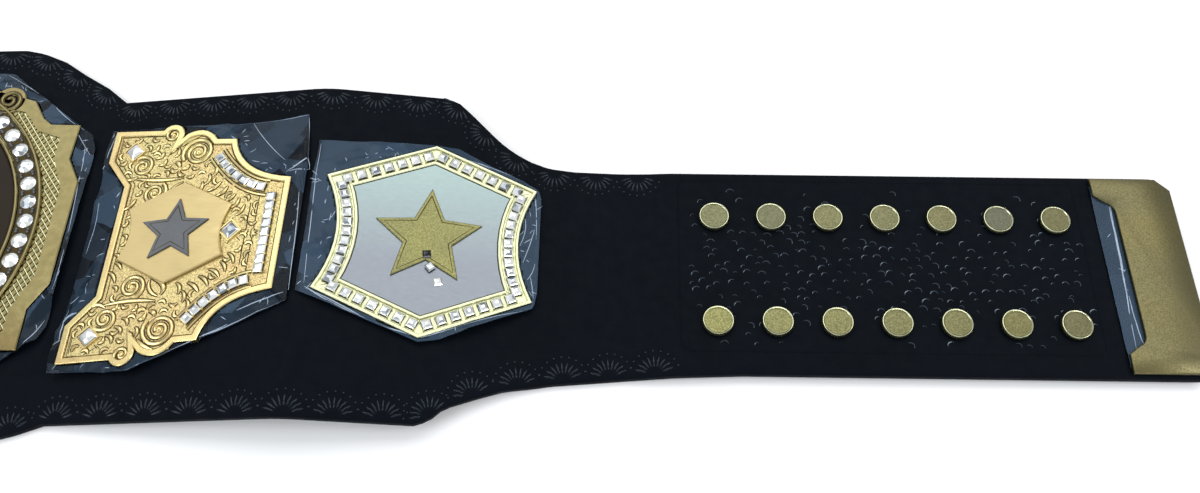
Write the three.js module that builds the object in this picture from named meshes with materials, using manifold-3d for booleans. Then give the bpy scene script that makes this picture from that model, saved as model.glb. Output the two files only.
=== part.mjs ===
// Championship title belt, lying face up: a thick leather strap with a lobed middle, a large cast
// plate with a ring of stones, two cast plates on each side of it, a plate on each strap end and two
// rows of press studs at each end. Millimetres. X runs along the belt, Y across it, Z up from the
// surface it lies on, and the origin is under the middle of the main plate.
import * as THREE from 'three';
import { mergeVertices } from 'three/addons/utils/BufferGeometryUtils.js';
import Module from 'manifold-3d';

const wasm = await Module();
wasm.setup();

// Clearances and seats
const CLEAR = 0.25;
const FILM = 0.2;
const SEAT = CLEAR + FILM + CLEAR;

// Leather
const LEATHER = 4;
const BODY_MARGIN_TOP = 19.5;
const BODY_MARGIN_BOTTOM = 25.5;
const STRAP_HEIGHT = 108.8;
const STRAP_AXIS = -15.5;
const LOBE_MARGIN = 14.4;
const LOBE_FOOT_MARGIN = 12;
const SHOULDER_OFFSET = 2.5;
const SHOULDER_TOP_LENGTH = 107;
const SHOULDER_BOTTOM_LENGTH = 150;

// Main plate
const MAIN_WIDTH = 217;
const FIELD_BAND = 14;
const CREST = 5.5;
const RIM = 1.6;
const ROUND_STONE = 8;
const ROUND_STONES = 50;
const CHANNEL_MARGIN = 1;
const FLOOR_THICKNESS = 2.2;
const BORDER_RISE = 0.9;
const RIM_RISE = 2;
const CURL_RADIUS = 8.5;
const CURL_SIDES = 10;
const RIM_SIDES = 40;

// Inner plates
const PLATE_GAP_INNER = 14.2;
const INNER_LENGTH = 100;
const INNER_HEIGHT = 133;
const INNER_AXIS = -5.8;
const SHIELD_WIDTH = 54;
const SHIELD_HEIGHT = 56;
const SHIELD_OFFSET = 2.5;
const SHIELD_THICKNESS = 1.6;
const SCROLL_WIDTH = 1.3;
const SCROLL_RISE = 0.9;
const SINGLE_STONE = 6.6;

// Outer plates
const PLATE_GAP_OUTER = 15.8;
const OUTER_LENGTH = 103.6;
const OUTER_HEIGHT = 105.2;
const OUTER_SIDE = 61.4;
const OUTER_HOLLOW = 8;
const OUTER_AXIS = -5;
const FRAME_WIDTH = 10;
const FRAME_RIM = 1.6;
const FRAME_RISE = 1.1;
const PANEL_DROP = 0.6;

// Strings of square stones
const SQUARE_STONE = 4.6;
const SQUARE_PITCH = 5.2;
const SLANT_PITCH = 6.9;
const SETTING_THICKNESS = 0.5;
const STONE_RISE = 1.5;

// Stars
const STAR_THICKNESS = 0.8;
const INNER_STAR = 18;
const OUTER_STAR = 27;
const STAR_WAIST = 0.46;

// How the leather lies: it humps between the two side plates, and the strap is lifted by the studs
const HUMP_TILT = 8;
const HUMP_FOOT_MARGIN = 3.5;
const FOOT_SPAN = 8;
const HUMP_SPAN = 16;
const LIFT_LENGTH = 24;
const LIFT_BEFORE_SNAPS = 34;

// Press studs
const NECK = 89.5;
const SNAP_PITCH = 28.15;
const SNAP_COLUMNS = 7;
const SNAP_ROW_SPACING = 56.6;
const TAIL = 61.2;
const CAP = 15.3;
const CAP_RISE = 2.7;
const CAP_RIM = 1.5;
const POST = 5;
const SOCKET = 12.4;
const BACK_HEIGHT = 1.95;
const STUD = 7.4;
const STUD_RISE = 3.2;
const SNAP_SIDES = 8;

// Tip plates
const TIP_LENGTH = 39.2;
const TIP_INSET = 2;
const TIP_THICKNESS = 2;
const TIP_CHAMFER = 7.5;
const TIP_RECESS = 9.5;
const TIP_END_MARGIN = 0.6;

// Lengths along the leather that follow from the sizes above
const ringRimOuter = MAIN_WIDTH / 2 - FIELD_BAND;
const channelOuter = ringRimOuter - RIM;
const channelInner = channelOuter - ROUND_STONE - 2 * CHANNEL_MARGIN;
const ringRimInner = channelInner - RIM;
const mainHalfHeight = ringRimOuter + CREST;
const innerStart = MAIN_WIDTH / 2 + PLATE_GAP_INNER;
const innerEnd = innerStart + INNER_LENGTH;
const outerStart = innerEnd + PLATE_GAP_OUTER;
const outerEnd = outerStart + OUTER_LENGTH;
const outerMiddle = (outerStart + outerEnd) / 2;
const firstSnap = outerEnd + NECK;
const lastSnap = firstSnap + SNAP_PITCH * (SNAP_COLUMNS - 1);
const beltHalf = lastSnap + TAIL;
const bodyTop = INNER_AXIS + INNER_HEIGHT / 2 + BODY_MARGIN_TOP;
const bodyBottom = INNER_AXIS - INNER_HEIGHT / 2 - BODY_MARGIN_BOTTOM;
const strapTop = STRAP_AXIS + STRAP_HEIGHT / 2;
const strapBottom = STRAP_AXIS - STRAP_HEIGHT / 2;
const lobe = mainHalfHeight + LOBE_MARGIN;
const lobeFoot = MAIN_WIDTH / 2 + LOBE_FOOT_MARGIN;
const shoulder = outerMiddle + SHOULDER_OFFSET;
const snapLift = BACK_HEIGHT + CLEAR;
const humpFootInner = innerStart - HUMP_FOOT_MARGIN;
const humpFootOuter = outerEnd + HUMP_FOOT_MARGIN;
const humpTop = (humpFootInner + humpFootOuter) / 2;
const liftMiddle = firstSnap - LIFT_BEFORE_SNAPS;
const liftTilt = THREE.MathUtils.radToDeg(Math.asin(snapLift / LIFT_LENGTH));

// Colours and finishes
const finish = (color, roughness, metalness, extra = {}) =>
  new THREE.MeshStandardMaterial({ color, roughness, metalness, ...extra });
const FINISHES = {
  leather: () => finish(0x0c0d10, 0.5, 0),
  gold: () => finish(0xd9b45a, 0.28, 1),
  enamel: () => finish(0x2a1c12, 0.35, 0.1),
  orangeGold: () => finish(0xd8a04e, 0.4, 1),
  silver: () => finish(0xa9acb2, 0.42, 1),
  stone: () => finish(0xf0f4fa, 0.08, 0),
  brass: () => finish(0xbfa777, 0.42, 1),
  film: () => finish(0x8f98a8, 0.15, 0, { transparent: true, opacity: 0.3 }),
};

// Closed solids and meshes

// A solid from a closed geometry, with its faces turned outwards.
function solid(geometry) {
  const bare = new THREE.BufferGeometry();
  bare.setAttribute('position', geometry.getAttribute('position'));
  bare.setIndex(geometry.getIndex());
  const merged = mergeVertices(bare);
  const corners = merged.getAttribute('position').array;
  const triangles = Uint32Array.from(merged.getIndex().array);
  const [a, b, c] = [new THREE.Vector3(), new THREE.Vector3(), new THREE.Vector3()];
  let volume = 0;
  for (let t = 0; t < triangles.length; t += 3) {
    a.fromArray(corners, 3 * triangles[t]);
    b.fromArray(corners, 3 * triangles[t + 1]);
    c.fromArray(corners, 3 * triangles[t + 2]);
    volume += a.dot(b.cross(c));
  }
  if (volume < 0) triangles.reverse();
  return new wasm.Manifold(new wasm.Mesh({
    numProp: 3,
    vertProperties: Float32Array.from(corners),
    triVerts: triangles,
  }));
}

function mesh(name, shape, finishName) {
  const { vertProperties, triVerts } = shape.getMesh();
  const geometry = new THREE.BufferGeometry();
  geometry.setAttribute('position', new THREE.BufferAttribute(vertProperties, 3));
  geometry.setIndex(new THREE.BufferAttribute(triVerts, 1));
  geometry.computeVertexNormals();
  const made = new THREE.Mesh(geometry, FINISHES[finishName]());
  made.name = name;
  return made;
}

const join = (shapes) => shapes.reduce((whole, shape) => whole.add(shape));

// A flat outline, thick from low to high.
function slab(outline, low, high) {
  const geometry = new THREE.ExtrudeGeometry(outline, { depth: high - low, bevelEnabled: false });
  return solid(geometry.translate(0, 0, low));
}

// A profile of [radius, height] rows turned about an upright axis.
function turned(profile, sides, x = 0, y = 0) {
  const geometry = new THREE.LatheGeometry(profile.map(([r, z]) => new THREE.Vector2(r, z)), sides);
  return solid(geometry.rotateX(Math.PI / 2).translate(x, y, 0));
}

const ring = (inner, outer, low, high, sides) =>
  turned([[inner, low], [outer, low], [outer, high], [inner, high], [inner, low]], sides);

// A cut stone: a girdle, a crown of pointed facets and a flat table, centred at a point.
function stone(size, sides, low, high, x, y, turn) {
  const corners = [];
  const faces = [];
  const girdle = size / 2 / Math.cos(Math.PI / sides);
  const table = size * 0.31;
  const start = turn + Math.PI / sides;
  for (let i = 0; i < sides; i++) {
    const at = start + (2 * Math.PI * i) / sides;
    corners.push([x + girdle * Math.cos(at), y + girdle * Math.sin(at), low]);
  }
  const tableSides = 4;
  for (let i = 0; i < tableSides; i++) {
    const at = start + (2 * Math.PI * (i + (sides === tableSides ? 0.5 : 0))) / tableSides;
    corners.push([x + table * Math.cos(at), y + table * Math.sin(at), high]);
  }
  const step = sides / tableSides;
  for (let i = 0; i < tableSides; i++) {
    const next = (i + 1) % tableSides;
    for (let k = 0; k < step; k++) {
      faces.push([i * step + k, (i * step + k + 1) % sides, sides + (k < step / 2 ? i : next)]);
    }
    const middle = step > 1 ? i * step + step / 2 : ((i + 1) * step) % sides;
    faces.push([sides + i, middle, sides + next]);
  }
  faces.push([sides, sides + 1, sides + 2], [sides, sides + 2, sides + 3]);
  for (let i = 1; i < sides - 1; i++) faces.push([0, i + 1, i]);
  const geometry = new THREE.BufferGeometry();
  geometry.setAttribute('position', new THREE.Float32BufferAttribute(corners.flat(), 3));
  geometry.setIndex(faces.flat());
  return solid(geometry);
}

// Outlines

// The same outline moved inwards by a distance, with mitred corners.
function inset(points, distance) {
  const area = THREE.ShapeUtils.area(points);
  const side = Math.sign(area) * distance;
  return points.map((point, i) => {
    const before = points[(i + points.length - 1) % points.length];
    const after = points[(i + 1) % points.length];
    const into = point.clone().sub(before).normalize();
    const out = after.clone().sub(point).normalize();
    const normal = new THREE.Vector2(-into.y - out.y, into.x + out.x).normalize();
    const reach = side / Math.max(0.3, normal.dot(new THREE.Vector2(-into.y, into.x)));
    return point.clone().addScaledVector(normal, reach);
  });
}

// A band of even width along an open line of points.
function band(points, width) {
  const normals = points.map((point, i) => {
    const before = points[Math.max(0, i - 1)];
    const after = points[Math.min(points.length - 1, i + 1)];
    const along = after.clone().sub(before).normalize();
    return new THREE.Vector2(-along.y, along.x);
  });
  const left = points.map((point, i) => point.clone().addScaledVector(normals[i], width / 2));
  const right = points.map((point, i) => point.clone().addScaledVector(normals[i], -width / 2));
  return new THREE.Shape([...left, ...right.reverse()]);
}

function star(radius, x, y, low, high) {
  const points = [];
  for (let i = 0; i < 10; i++) {
    const reach = i % 2 ? radius * STAR_WAIST : radius;
    const at = Math.PI / 2 + (i * Math.PI) / 5;
    points.push(new THREE.Vector2(x + reach * Math.cos(at), y + reach * Math.sin(at)));
  }
  return slab(new THREE.Shape(points), low, high);
}

// The leather's form along its length

const BENDS = [
  { at: humpFootInner, turn: HUMP_TILT, span: FOOT_SPAN },
  { at: humpTop, turn: -2 * HUMP_TILT, span: HUMP_SPAN },
  { at: humpFootOuter, turn: HUMP_TILT, span: FOOT_SPAN },
  { at: liftMiddle - LIFT_LENGTH / 2, turn: liftTilt, span: FOOT_SPAN },
  { at: liftMiddle + LIFT_LENGTH / 2, turn: -liftTilt, span: FOOT_SPAN },
];

// Where a point at a length from the middle lies, with the leather's slope there.
function lie(length, height = 0) {
  let x = 0;
  let z = 0;
  let slope = 0;
  let done = 0;
  for (const bend of BENDS) {
    const start = bend.at - bend.span / 2;
    const straight = Math.max(0, Math.min(length, start) - done);
    x += straight * Math.cos(slope);
    z += straight * Math.sin(slope);
    done += straight;
    if (length <= start) break;
    const share = Math.min(1, (length - start) / bend.span);
    const curve = THREE.MathUtils.degToRad(bend.turn) / bend.span;
    const next = slope + curve * bend.span * share;
    x += (Math.sin(next) - Math.sin(slope)) / curve;
    z += (Math.cos(slope) - Math.cos(next)) / curve;
    slope = next;
    done += bend.span * share;
    if (share < 1) break;
  }
  x += Math.max(0, length - done) * Math.cos(slope);
  z += Math.max(0, length - done) * Math.sin(slope);
  return { x: x - height * Math.sin(slope), z: z + height * Math.cos(slope), slope };
}

// The lengths at which the leather starts, goes on with and ends a bend.
const BEND_STEPS = 3;
const bendLengths = BENDS.flatMap(({ at, span }) =>
  Array.from({ length: BEND_STEPS + 1 }, (_, i) => at - span / 2 + (span * i) / BEND_STEPS));

// Shares of the lobe's foot and of its rise over the body's edge.
const LOBE = [
  { along: 0, rise: 0.94 },
  { along: 0.28, rise: 0.97 },
  { along: 0.48, rise: 1 },
  { along: 0.565, rise: 0.94 },
  { along: 0.68, rise: 0.77 },
  { along: 0.785, rise: 0.52 },
  { along: 0.9, rise: 0.28 },
  { along: 1, rise: 0 },
];

// Shares of each shoulder's length and of its fall from the body's edge to the strap's.
const SHOULDER_TOP = [
  { along: 0, fall: 0 },
  { along: 0.06, fall: 0.05 },
  { along: 0.12, fall: 0.19 },
  { along: 0.27, fall: 0.58 },
  { along: 0.34, fall: 0.72 },
  { along: 0.42, fall: 0.835 },
  { along: 0.52, fall: 0.92 },
  { along: 0.64, fall: 0.965 },
  { along: 1, fall: 1 },
];
const SHOULDER_BOTTOM = [
  { along: 0, fall: 0 },
  { along: 0.04, fall: 0.1 },
  { along: 0.08, fall: 0.31 },
  { along: 0.185, fall: 0.53 },
  { along: 0.26, fall: 0.67 },
  { along: 0.4, fall: 0.8 },
  { along: 0.62, fall: 0.905 },
  { along: 0.82, fall: 0.96 },
  { along: 1, fall: 1 },
];

function edge(body, strap, lobeEdge, table, shoulderLength) {
  return [
    ...LOBE.map(({ along, rise }) => [along * lobeFoot, body + rise * (lobeEdge - body)]),
    ...table.map(({ along, fall }) => [shoulder + along * shoulderLength, body + fall * (strap - body)]),
    [beltHalf - TIP_CHAMFER, strap],
    [beltHalf, strap - Math.sign(strap) * TIP_CHAMFER],
  ];
}
const EDGE_TOP = edge(bodyTop, strapTop, lobe, SHOULDER_TOP, SHOULDER_TOP_LENGTH);
const EDGE_BOTTOM = edge(bodyBottom, strapBottom, -lobe, SHOULDER_BOTTOM, SHOULDER_BOTTOM_LENGTH);

function across(rows, length) {
  const next = rows.findIndex(([at]) => at >= length);
  if (next <= 0) return rows[next === 0 ? 0 : rows.length - 1][1];
  const [before, after] = [rows[next - 1], rows[next]];
  const share = (length - before[0]) / (after[0] - before[0]);
  return before[1] + share * (after[1] - before[1]);
}

// A sheet that lies along the leather, between two edges and two heights over the leather's back.
function sheet(top, bottom, start, end, low, high, mirrored = false) {
  const lengths = [start, end, ...top.map(([at]) => at), ...bottom.map(([at]) => at), ...bendLengths]
    .filter((at) => at >= start && at <= end)
    .sort((one, other) => one - other)
    .filter((at, i, all) => i === 0 || at - all[i - 1] > 0.05);
  const right = lengths.map((at) => ({ at, side: 1 }));
  const left = lengths.slice(1).map((at) => ({ at, side: -1 })).reverse();
  const stations = mirrored ? [...left, ...right] : right;
  const corners = stations.flatMap(({ at, side }) =>
    [[top, low], [bottom, low], [bottom, high], [top, high]].flatMap(([rows, height]) => {
      const { x, z } = lie(at, height);
      return [side * x, across(rows, at), z];
    }));
  const faces = [];
  for (let i = 0; i < stations.length - 1; i++) {
    for (let k = 0; k < 4; k++) {
      const [a, b] = [4 * i + k, 4 * i + ((k + 1) % 4)];
      faces.push(a, b, b + 4, a, b + 4, a + 4);
    }
  }
  const last = 4 * (stations.length - 1);
  faces.push(0, 2, 1, 0, 3, 2, last, last + 1, last + 2, last, last + 2, last + 3);
  const geometry = new THREE.BufferGeometry();
  geometry.setAttribute('position', new THREE.Float32BufferAttribute(corners, 3));
  geometry.setIndex(faces);
  return solid(geometry);
}

// Press studs: where each one goes through the leather, and what it looks like

const SNAP_PLACES = [];
for (const [row, sign] of [['upper', 1], ['lower', -1]]) {
  for (let i = 0; i < SNAP_COLUMNS; i++) {
    SNAP_PLACES.push({
      name: `${row}_${i + 1}`,
      x: lie(firstSnap + i * SNAP_PITCH).x,
      y: STRAP_AXIS + (sign * SNAP_ROW_SPACING) / 2,
    });
  }
}
const strapFront = snapLift + LEATHER;

// Cap in front, socket behind: the end that closes on top.
const CAP_PROFILE = [
  [0, 0],
  [SOCKET / 2, 0],
  [POST / 2, BACK_HEIGHT],
  [POST / 2, strapFront + CLEAR],
  [CAP / 2, strapFront + CLEAR],
  [CAP / 2 - CAP_RIM, strapFront + CLEAR + CAP_RISE],
  [0, strapFront + CLEAR + CAP_RISE],
];

// Stud in front, plain cap behind: the end that it closes over.
const STUD_PROFILE = [
  [0, 0],
  [CAP / 2, 0],
  [POST / 2, BACK_HEIGHT],
  [POST / 2, strapFront + CLEAR],
  [SOCKET / 2, strapFront + CLEAR],
  [STUD / 2, strapFront + CLEAR + CAP_RIM],
  [STUD / 2, strapFront + CLEAR + STUD_RISE],
  [0, strapFront + CLEAR + STUD_RISE],
];

function leatherStrap() {
  const body = sheet(EDGE_TOP, EDGE_BOTTOM, 0, beltHalf, 0, LEATHER, true);
  const holes = SNAP_PLACES.flatMap(({ x, y }) => [x, -x].map((at) =>
    turned([[0, -1], [POST / 2 + CLEAR, -1], [POST / 2 + CLEAR, strapFront + 1], [0, strapFront + 1]],
      SNAP_SIDES, at, y)));
  return mesh('leather_strap', body.subtract(join(holes)), 'leather');
}

// Main plate

// One quarter of the main plate's outline, as shares of its half width and half height, from the
// curl to the side. The crest between the curls is an arc.
const MAIN_CORNER = [
  { x: 0.685, y: 0.78 },
  { x: 0.75, y: 0.671 },
  { x: 0.795, y: 0.634 },
  { x: 0.935, y: 0.632 },
  { x: 0.93, y: 0.422 },
  { x: 1, y: 0.287 },
];
const FIELD_CORNER = [
  { x: 0.655, y: 0.712 },
  { x: 0.745, y: 0.593 },
  { x: 0.86, y: 0.553 },
  { x: 0.862, y: 0.42 },
  { x: 0.93, y: 0.25 },
];

// Where a curl's centre is, in the same shares.
const CURL_PLACE = { x: 0.556, y: 0.782 };

// A closed outline from one quarter, mirrored both ways.
function fourfold(quarter) {
  const right = [...quarter, ...quarter.map(([x, y]) => [x, -y]).reverse()];
  return [...right, ...right.map(([x, y]) => [-x, y]).reverse()].map(([x, y]) => new THREE.Vector2(x, y));
}

function arcRows(radius, { from, to, steps }) {
  return Array.from({ length: steps + 1 }, (_, i) => {
    const at = THREE.MathUtils.degToRad(from + ((to - from) * i) / steps);
    return [radius * Math.sin(at), radius * Math.cos(at)];
  });
}

// Arcs of the crest and of the field's inner edge, in degrees from straight up
const CREST_ARC = { from: 3, to: 33, steps: 5 };
const FIELD_ARC = { from: 3, to: 40, steps: 6 };

function mainPlate() {
  const half = MAIN_WIDTH / 2;
  const borderTop = FLOOR_THICKNESS + BORDER_RISE;
  const corner = (rows) => rows.map(({ x, y }) => [x * half, y * mainHalfHeight]);
  const outline = fourfold([...arcRows(mainHalfHeight, CREST_ARC), ...corner(MAIN_CORNER)]);
  const field = fourfold([...arcRows(ringRimOuter + RIM / 2, FIELD_ARC), ...corner(FIELD_CORNER)]);
  const curlProfile = [[0, 0], [CURL_RADIUS, 0], [CURL_RADIUS, borderTop], [0, borderTop]];
  const curls = [1, -1].flatMap((sx) => [1, -1].map((sy) =>
    turned(curlProfile, CURL_SIDES, sx * half * CURL_PLACE.x, sy * mainHalfHeight * CURL_PLACE.y)));
  const base = slab(new THREE.Shape(outline), 0, borderTop)
    .subtract(slab(new THREE.Shape(field), FLOOR_THICKNESS, borderTop + 1));
  const well = turned([[0, FLOOR_THICKNESS], [ringRimOuter, FLOOR_THICKNESS],
    [ringRimOuter, borderTop + 1], [0, borderTop + 1]], RIM_SIDES);
  const rims = [ringRimInner, channelOuter].map((inner) =>
    ring(inner, inner + RIM, FLOOR_THICKNESS, FLOOR_THICKNESS + RIM_RISE, RIM_SIDES));
  return mesh('main_plate', join([join([base, ...curls]).subtract(well), ...rims]), 'gold');
}

function mainStoneRing() {
  const low = FLOOR_THICKNESS + CLEAR;
  const seat = ring(channelInner + CLEAR, channelOuter - CLEAR, low, low + SETTING_THICKNESS, RIM_SIDES);
  const radius = (channelInner + channelOuter) / 2;
  const stones = Array.from({ length: ROUND_STONES }, (_, i) => {
    const at = (2 * Math.PI * (i + 0.5)) / ROUND_STONES;
    return stone(ROUND_STONE, 8, low + SETTING_THICKNESS, FLOOR_THICKNESS + RIM_RISE + STONE_RISE,
      radius * Math.cos(at), radius * Math.sin(at), at);
  });
  return mesh('main_stone_ring', join([seat, ...stones]), 'stone');
}

function mainDisc() {
  const radius = ringRimInner - CLEAR;
  const low = FLOOR_THICKNESS + CLEAR;
  const bevel = 1.2;
  return mesh('main_disc', turned([[0, low], [radius, low], [radius, low + bevel / 2],
    [radius - bevel, low + bevel], [0, low + bevel]], RIM_SIDES), 'enamel');
}

// Strings of square stones

// Places at an even pitch along an open line, centred on it, each with its direction.
function places(points, pitch) {
  const line = new THREE.CurvePath();
  for (let i = 1; i < points.length; i++) line.add(new THREE.LineCurve(points[i - 1], points[i]));
  const total = line.getLength();
  const count = Math.floor((total - SQUARE_STONE) / pitch) + 1;
  return Array.from({ length: count }, (_, i) => {
    const at = 0.5 + ((i - (count - 1) / 2) * pitch) / total;
    const point = line.getPoint(at);
    const tangent = line.getTangent(at);
    return { x: point.x, y: point.y, turn: Math.atan2(tangent.y, tangent.x) };
  });
}

const squareStones = (points, pitch, low) => places(points, pitch).map(({ x, y, turn }) =>
  stone(SQUARE_STONE, 4, low, low + STONE_RISE, x, y, turn));

// Inner plate: u runs from its edge beside the main plate, v from its axis

const innerU = (share) => (share - 0.5) * INNER_LENGTH;
const innerV = (share) => (share * INNER_HEIGHT) / 2;
const curve = (from, bend, to, steps) => new THREE.QuadraticBezierCurve(from, bend, to).getPoints(steps);
const innerPoint = (u, v) => new THREE.Vector2(innerU(u), innerV(v));

// The curl at each pad of the inner plate, in degrees from the belt's length
const CORNER_CURL_POINTS = 7;
const CORNER_CURL_START = 150;
const CORNER_CURL_STEP = 30;

function innerOutline() {
  const curl = { x: innerU(0.318), y: innerV(0.905), r: innerV(0.095) };
  const curlArc = Array.from({ length: CORNER_CURL_POINTS }, (_, i) => {
    const at = THREE.MathUtils.degToRad(CORNER_CURL_START - CORNER_CURL_STEP * i);
    return new THREE.Vector2(curl.x + curl.r * Math.cos(at), curl.y + curl.r * Math.sin(at));
  });
  const upper = [
    innerPoint(0, 0.68),
    innerPoint(0, 0.97),
    ...curlArc,
    ...curve(innerPoint(0.4, 0.905), innerPoint(0.5, 0.985), innerPoint(0.57, 0.84), 4),
    ...curve(innerPoint(0.675, 0.83), innerPoint(0.72, 0.51), innerPoint(1, 0.458), 6),
  ];
  const start = innerPoint(0.12, 0.455);
  const half = [start, ...upper];
  return [...half, ...half.map(({ x, y }) => new THREE.Vector2(x, -y)).reverse()];
}

// The line of stones follows the two hollow corners and the outer edge.
function innerStoneLine() {
  const corner = curve(innerPoint(0.585, 0.707), innerPoint(0.73, 0.406), innerPoint(0.89, 0.375), 6);
  return [...corner, ...corner.map(({ x, y }) => new THREE.Vector2(x, -y)).reverse()];
}

// Scrolls: centre and size as shares, hand of the spiral and where its tail leaves.
const SCROLLS = [
  { u: 0.29, v: 0.475, r: 0.06, hand: 1, tail: 200 },
  { u: 0.185, v: 0.6, r: 0.055, hand: -1, tail: 20 },
  { u: 0.478, v: 0.75, r: 0.065, hand: 1, tail: 250 },
  { u: 0.29, v: -0.4, r: 0.065, hand: -1, tail: 160 },
  { u: 0.185, v: -0.62, r: 0.06, hand: 1, tail: 340 },
  { u: 0.478, v: -0.74, r: 0.075, hand: -1, tail: 110 },
];
const SCROLL_TURNS = 1.25;
const SCROLL_STEPS = 9;

function scroll({ u, v, r, hand, tail }) {
  const points = Array.from({ length: SCROLL_STEPS + 1 }, (_, i) => {
    const share = i / SCROLL_STEPS;
    const at = THREE.MathUtils.degToRad(tail) + hand * 2 * Math.PI * SCROLL_TURNS * share;
    const reach = r * INNER_LENGTH * (1 - 0.68 * share);
    return new THREE.Vector2(innerU(u) + reach * Math.cos(at), innerV(v) + reach * Math.sin(at));
  });
  return slab(band(points, SCROLL_WIDTH), FLOOR_THICKNESS, FLOOR_THICKNESS + SCROLL_RISE);
}

function shieldOutline(width, height) {
  const [w, h] = [width / 2, height / 2];
  const rows = [[w, h / 2], [0.74 * w, 0], [w, -h / 2]];
  const side = curve(...rows.map(([x, y]) => new THREE.Vector2(x, y)), 6);
  const right = [new THREE.Vector2(0, h), ...side, new THREE.Vector2(0, -h)];
  const left = side.map(({ x, y }) => new THREE.Vector2(-x, y)).reverse();
  return [...right, ...left];
}
const shieldX = innerU(0.453);

function innerPlate(side) {
  const outline = innerOutline();
  const top = FLOOR_THICKNESS + BORDER_RISE;
  const base = slab(new THREE.Shape(outline), 0, top)
    .subtract(slab(new THREE.Shape(inset(outline, RIM)), FLOOR_THICKNESS, top + 1));
  const scrolls = SCROLLS.map(scroll);
  const singles = [[0.131, 0.77], [0.131, -0.77], [0.735, 0.03]].map(([u, v]) =>
    stone(SINGLE_STONE, 4, FLOOR_THICKNESS, top + STONE_RISE, innerU(u), innerV(v), Math.PI / 4));
  return mesh(`inner_plate_${side}`, join([base, ...scrolls, ...singles]), 'gold');
}

function innerShield(side) {
  const low = FLOOR_THICKNESS + CLEAR;
  const outline = new THREE.Shape(shieldOutline(SHIELD_WIDTH, SHIELD_HEIGHT));
  const shape = slab(outline, low, low + SHIELD_THICKNESS);
  return mesh(`inner_shield_${side}`, shape.translate([shieldX, SHIELD_OFFSET, 0]), 'orangeGold');
}

function innerStar(side) {
  const low = FLOOR_THICKNESS + CLEAR + SHIELD_THICKNESS + CLEAR;
  const shape = star(INNER_STAR, shieldX, SHIELD_OFFSET, low, low + STAR_THICKNESS);
  return mesh(`inner_star_${side}`, shape, 'silver');
}

// The inner plate's finest string of stones is one bar of their width and height.
function innerStones(side) {
  const low = FLOOR_THICKNESS + CLEAR;
  const bar = slab(band(innerStoneLine(), SQUARE_STONE), low, low + SETTING_THICKNESS + STONE_RISE);
  return mesh(`inner_stones_${side}`, bar, 'stone');
}

// Outer plate: a six-sided frame with two hollow sides, centred on its middle

const HOLLOW_STEPS = 4;

function outerOutline() {
  const [w, h, s] = [OUTER_LENGTH / 2, OUTER_HEIGHT / 2, OUTER_SIDE / 2];
  const side = curve(new THREE.Vector2(w, s), new THREE.Vector2(w - 2 * OUTER_HOLLOW, 0),
    new THREE.Vector2(w, -s), HOLLOW_STEPS);
  const left = side.map(({ x, y }) => new THREE.Vector2(-x, y)).reverse();
  return [new THREE.Vector2(0, h), ...side, new THREE.Vector2(0, -h), ...left];
}

// A flat frame between two distances in from the plate's outline.
function frameBand(outline, from, to, low, high) {
  return slab(new THREE.Shape(inset(outline, from)), low, high)
    .subtract(slab(new THREE.Shape(inset(outline, to)), low - 1, high + 1));
}

function outerFrame(side) {
  const outline = outerOutline();
  const top = FLOOR_THICKNESS + FRAME_RISE;
  return mesh(`outer_frame_${side}`, join([
    frameBand(outline, 0, FRAME_WIDTH, 0, FLOOR_THICKNESS),
    frameBand(outline, 0, FRAME_RIM, FLOOR_THICKNESS, top),
    frameBand(outline, FRAME_WIDTH - FRAME_RIM, FRAME_WIDTH, FLOOR_THICKNESS, top),
  ]), 'gold');
}

const panelTop = FLOOR_THICKNESS + FRAME_RISE - PANEL_DROP;

function outerPanel(side) {
  const outline = inset(outerOutline(), FRAME_WIDTH + CLEAR);
  return mesh(`outer_panel_${side}`, slab(new THREE.Shape(outline), 0, panelTop), 'silver');
}

function outerStar(side) {
  const low = panelTop + CLEAR;
  return mesh(`outer_star_${side}`, star(OUTER_STAR, 0, 0, low, low + STAR_THICKNESS), 'gold');
}

function outerStones(side) {
  const outline = outerOutline();
  const low = FLOOR_THICKNESS + CLEAR;
  const [outer, inner] = [FRAME_RIM + CLEAR, FRAME_WIDTH - FRAME_RIM - CLEAR];
  const seat = frameBand(outline, outer, inner, low, low + SETTING_THICKNESS);
  const line = inset(outline, FRAME_WIDTH / 2);
  const right = [0, 1, 1 + HOLLOW_STEPS];
  const corners = [...right, ...right.map((at) => at + 2 + HOLLOW_STEPS), line.length];
  const stones = corners.slice(1).flatMap((to, i) => {
    const stretch = [...line, line[0]].slice(corners[i], to + 1);
    const pitch = stretch.length > 2 ? SQUARE_PITCH : SLANT_PITCH;
    return squareStones(stretch, pitch, low + SETTING_THICKNESS);
  });
  return mesh(`outer_stones_${side}`, join([seat, ...stones]), 'stone');
}

// Tip plate: chamfered at the strap's end, with a recess in its inner side
function tipPlate(side) {
  const [length, half, chamfer] = [TIP_LENGTH, STRAP_HEIGHT / 2 - TIP_INSET, TIP_CHAMFER - TIP_INSET / 2];
  const rows = [
    [0, half], [length - chamfer, half], [length, half - chamfer], [length, -half + chamfer],
    [length - chamfer, -half], [0, -half], [0, -half + TIP_RECESS], [TIP_RECESS, -half + 1.6 * TIP_RECESS],
    [TIP_RECESS, half - 1.6 * TIP_RECESS], [0, half - TIP_RECESS],
  ];
  const outline = rows.map(([x, y]) => new THREE.Vector2(x, y));
  return mesh(`tip_plate_${side}`, slab(new THREE.Shape(outline), 0, TIP_THICKNESS), 'brass');
}

// Clear film under each plate's edge: rows of length and half height or edges
function film(name, top, bottom, mirrored) {
  const [start, end] = [top[0][0], top[top.length - 1][0]];
  const low = LEATHER + CLEAR;
  return mesh(name, sheet(top, bottom, start, end, low, low + FILM, mirrored), 'film');
}

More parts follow.
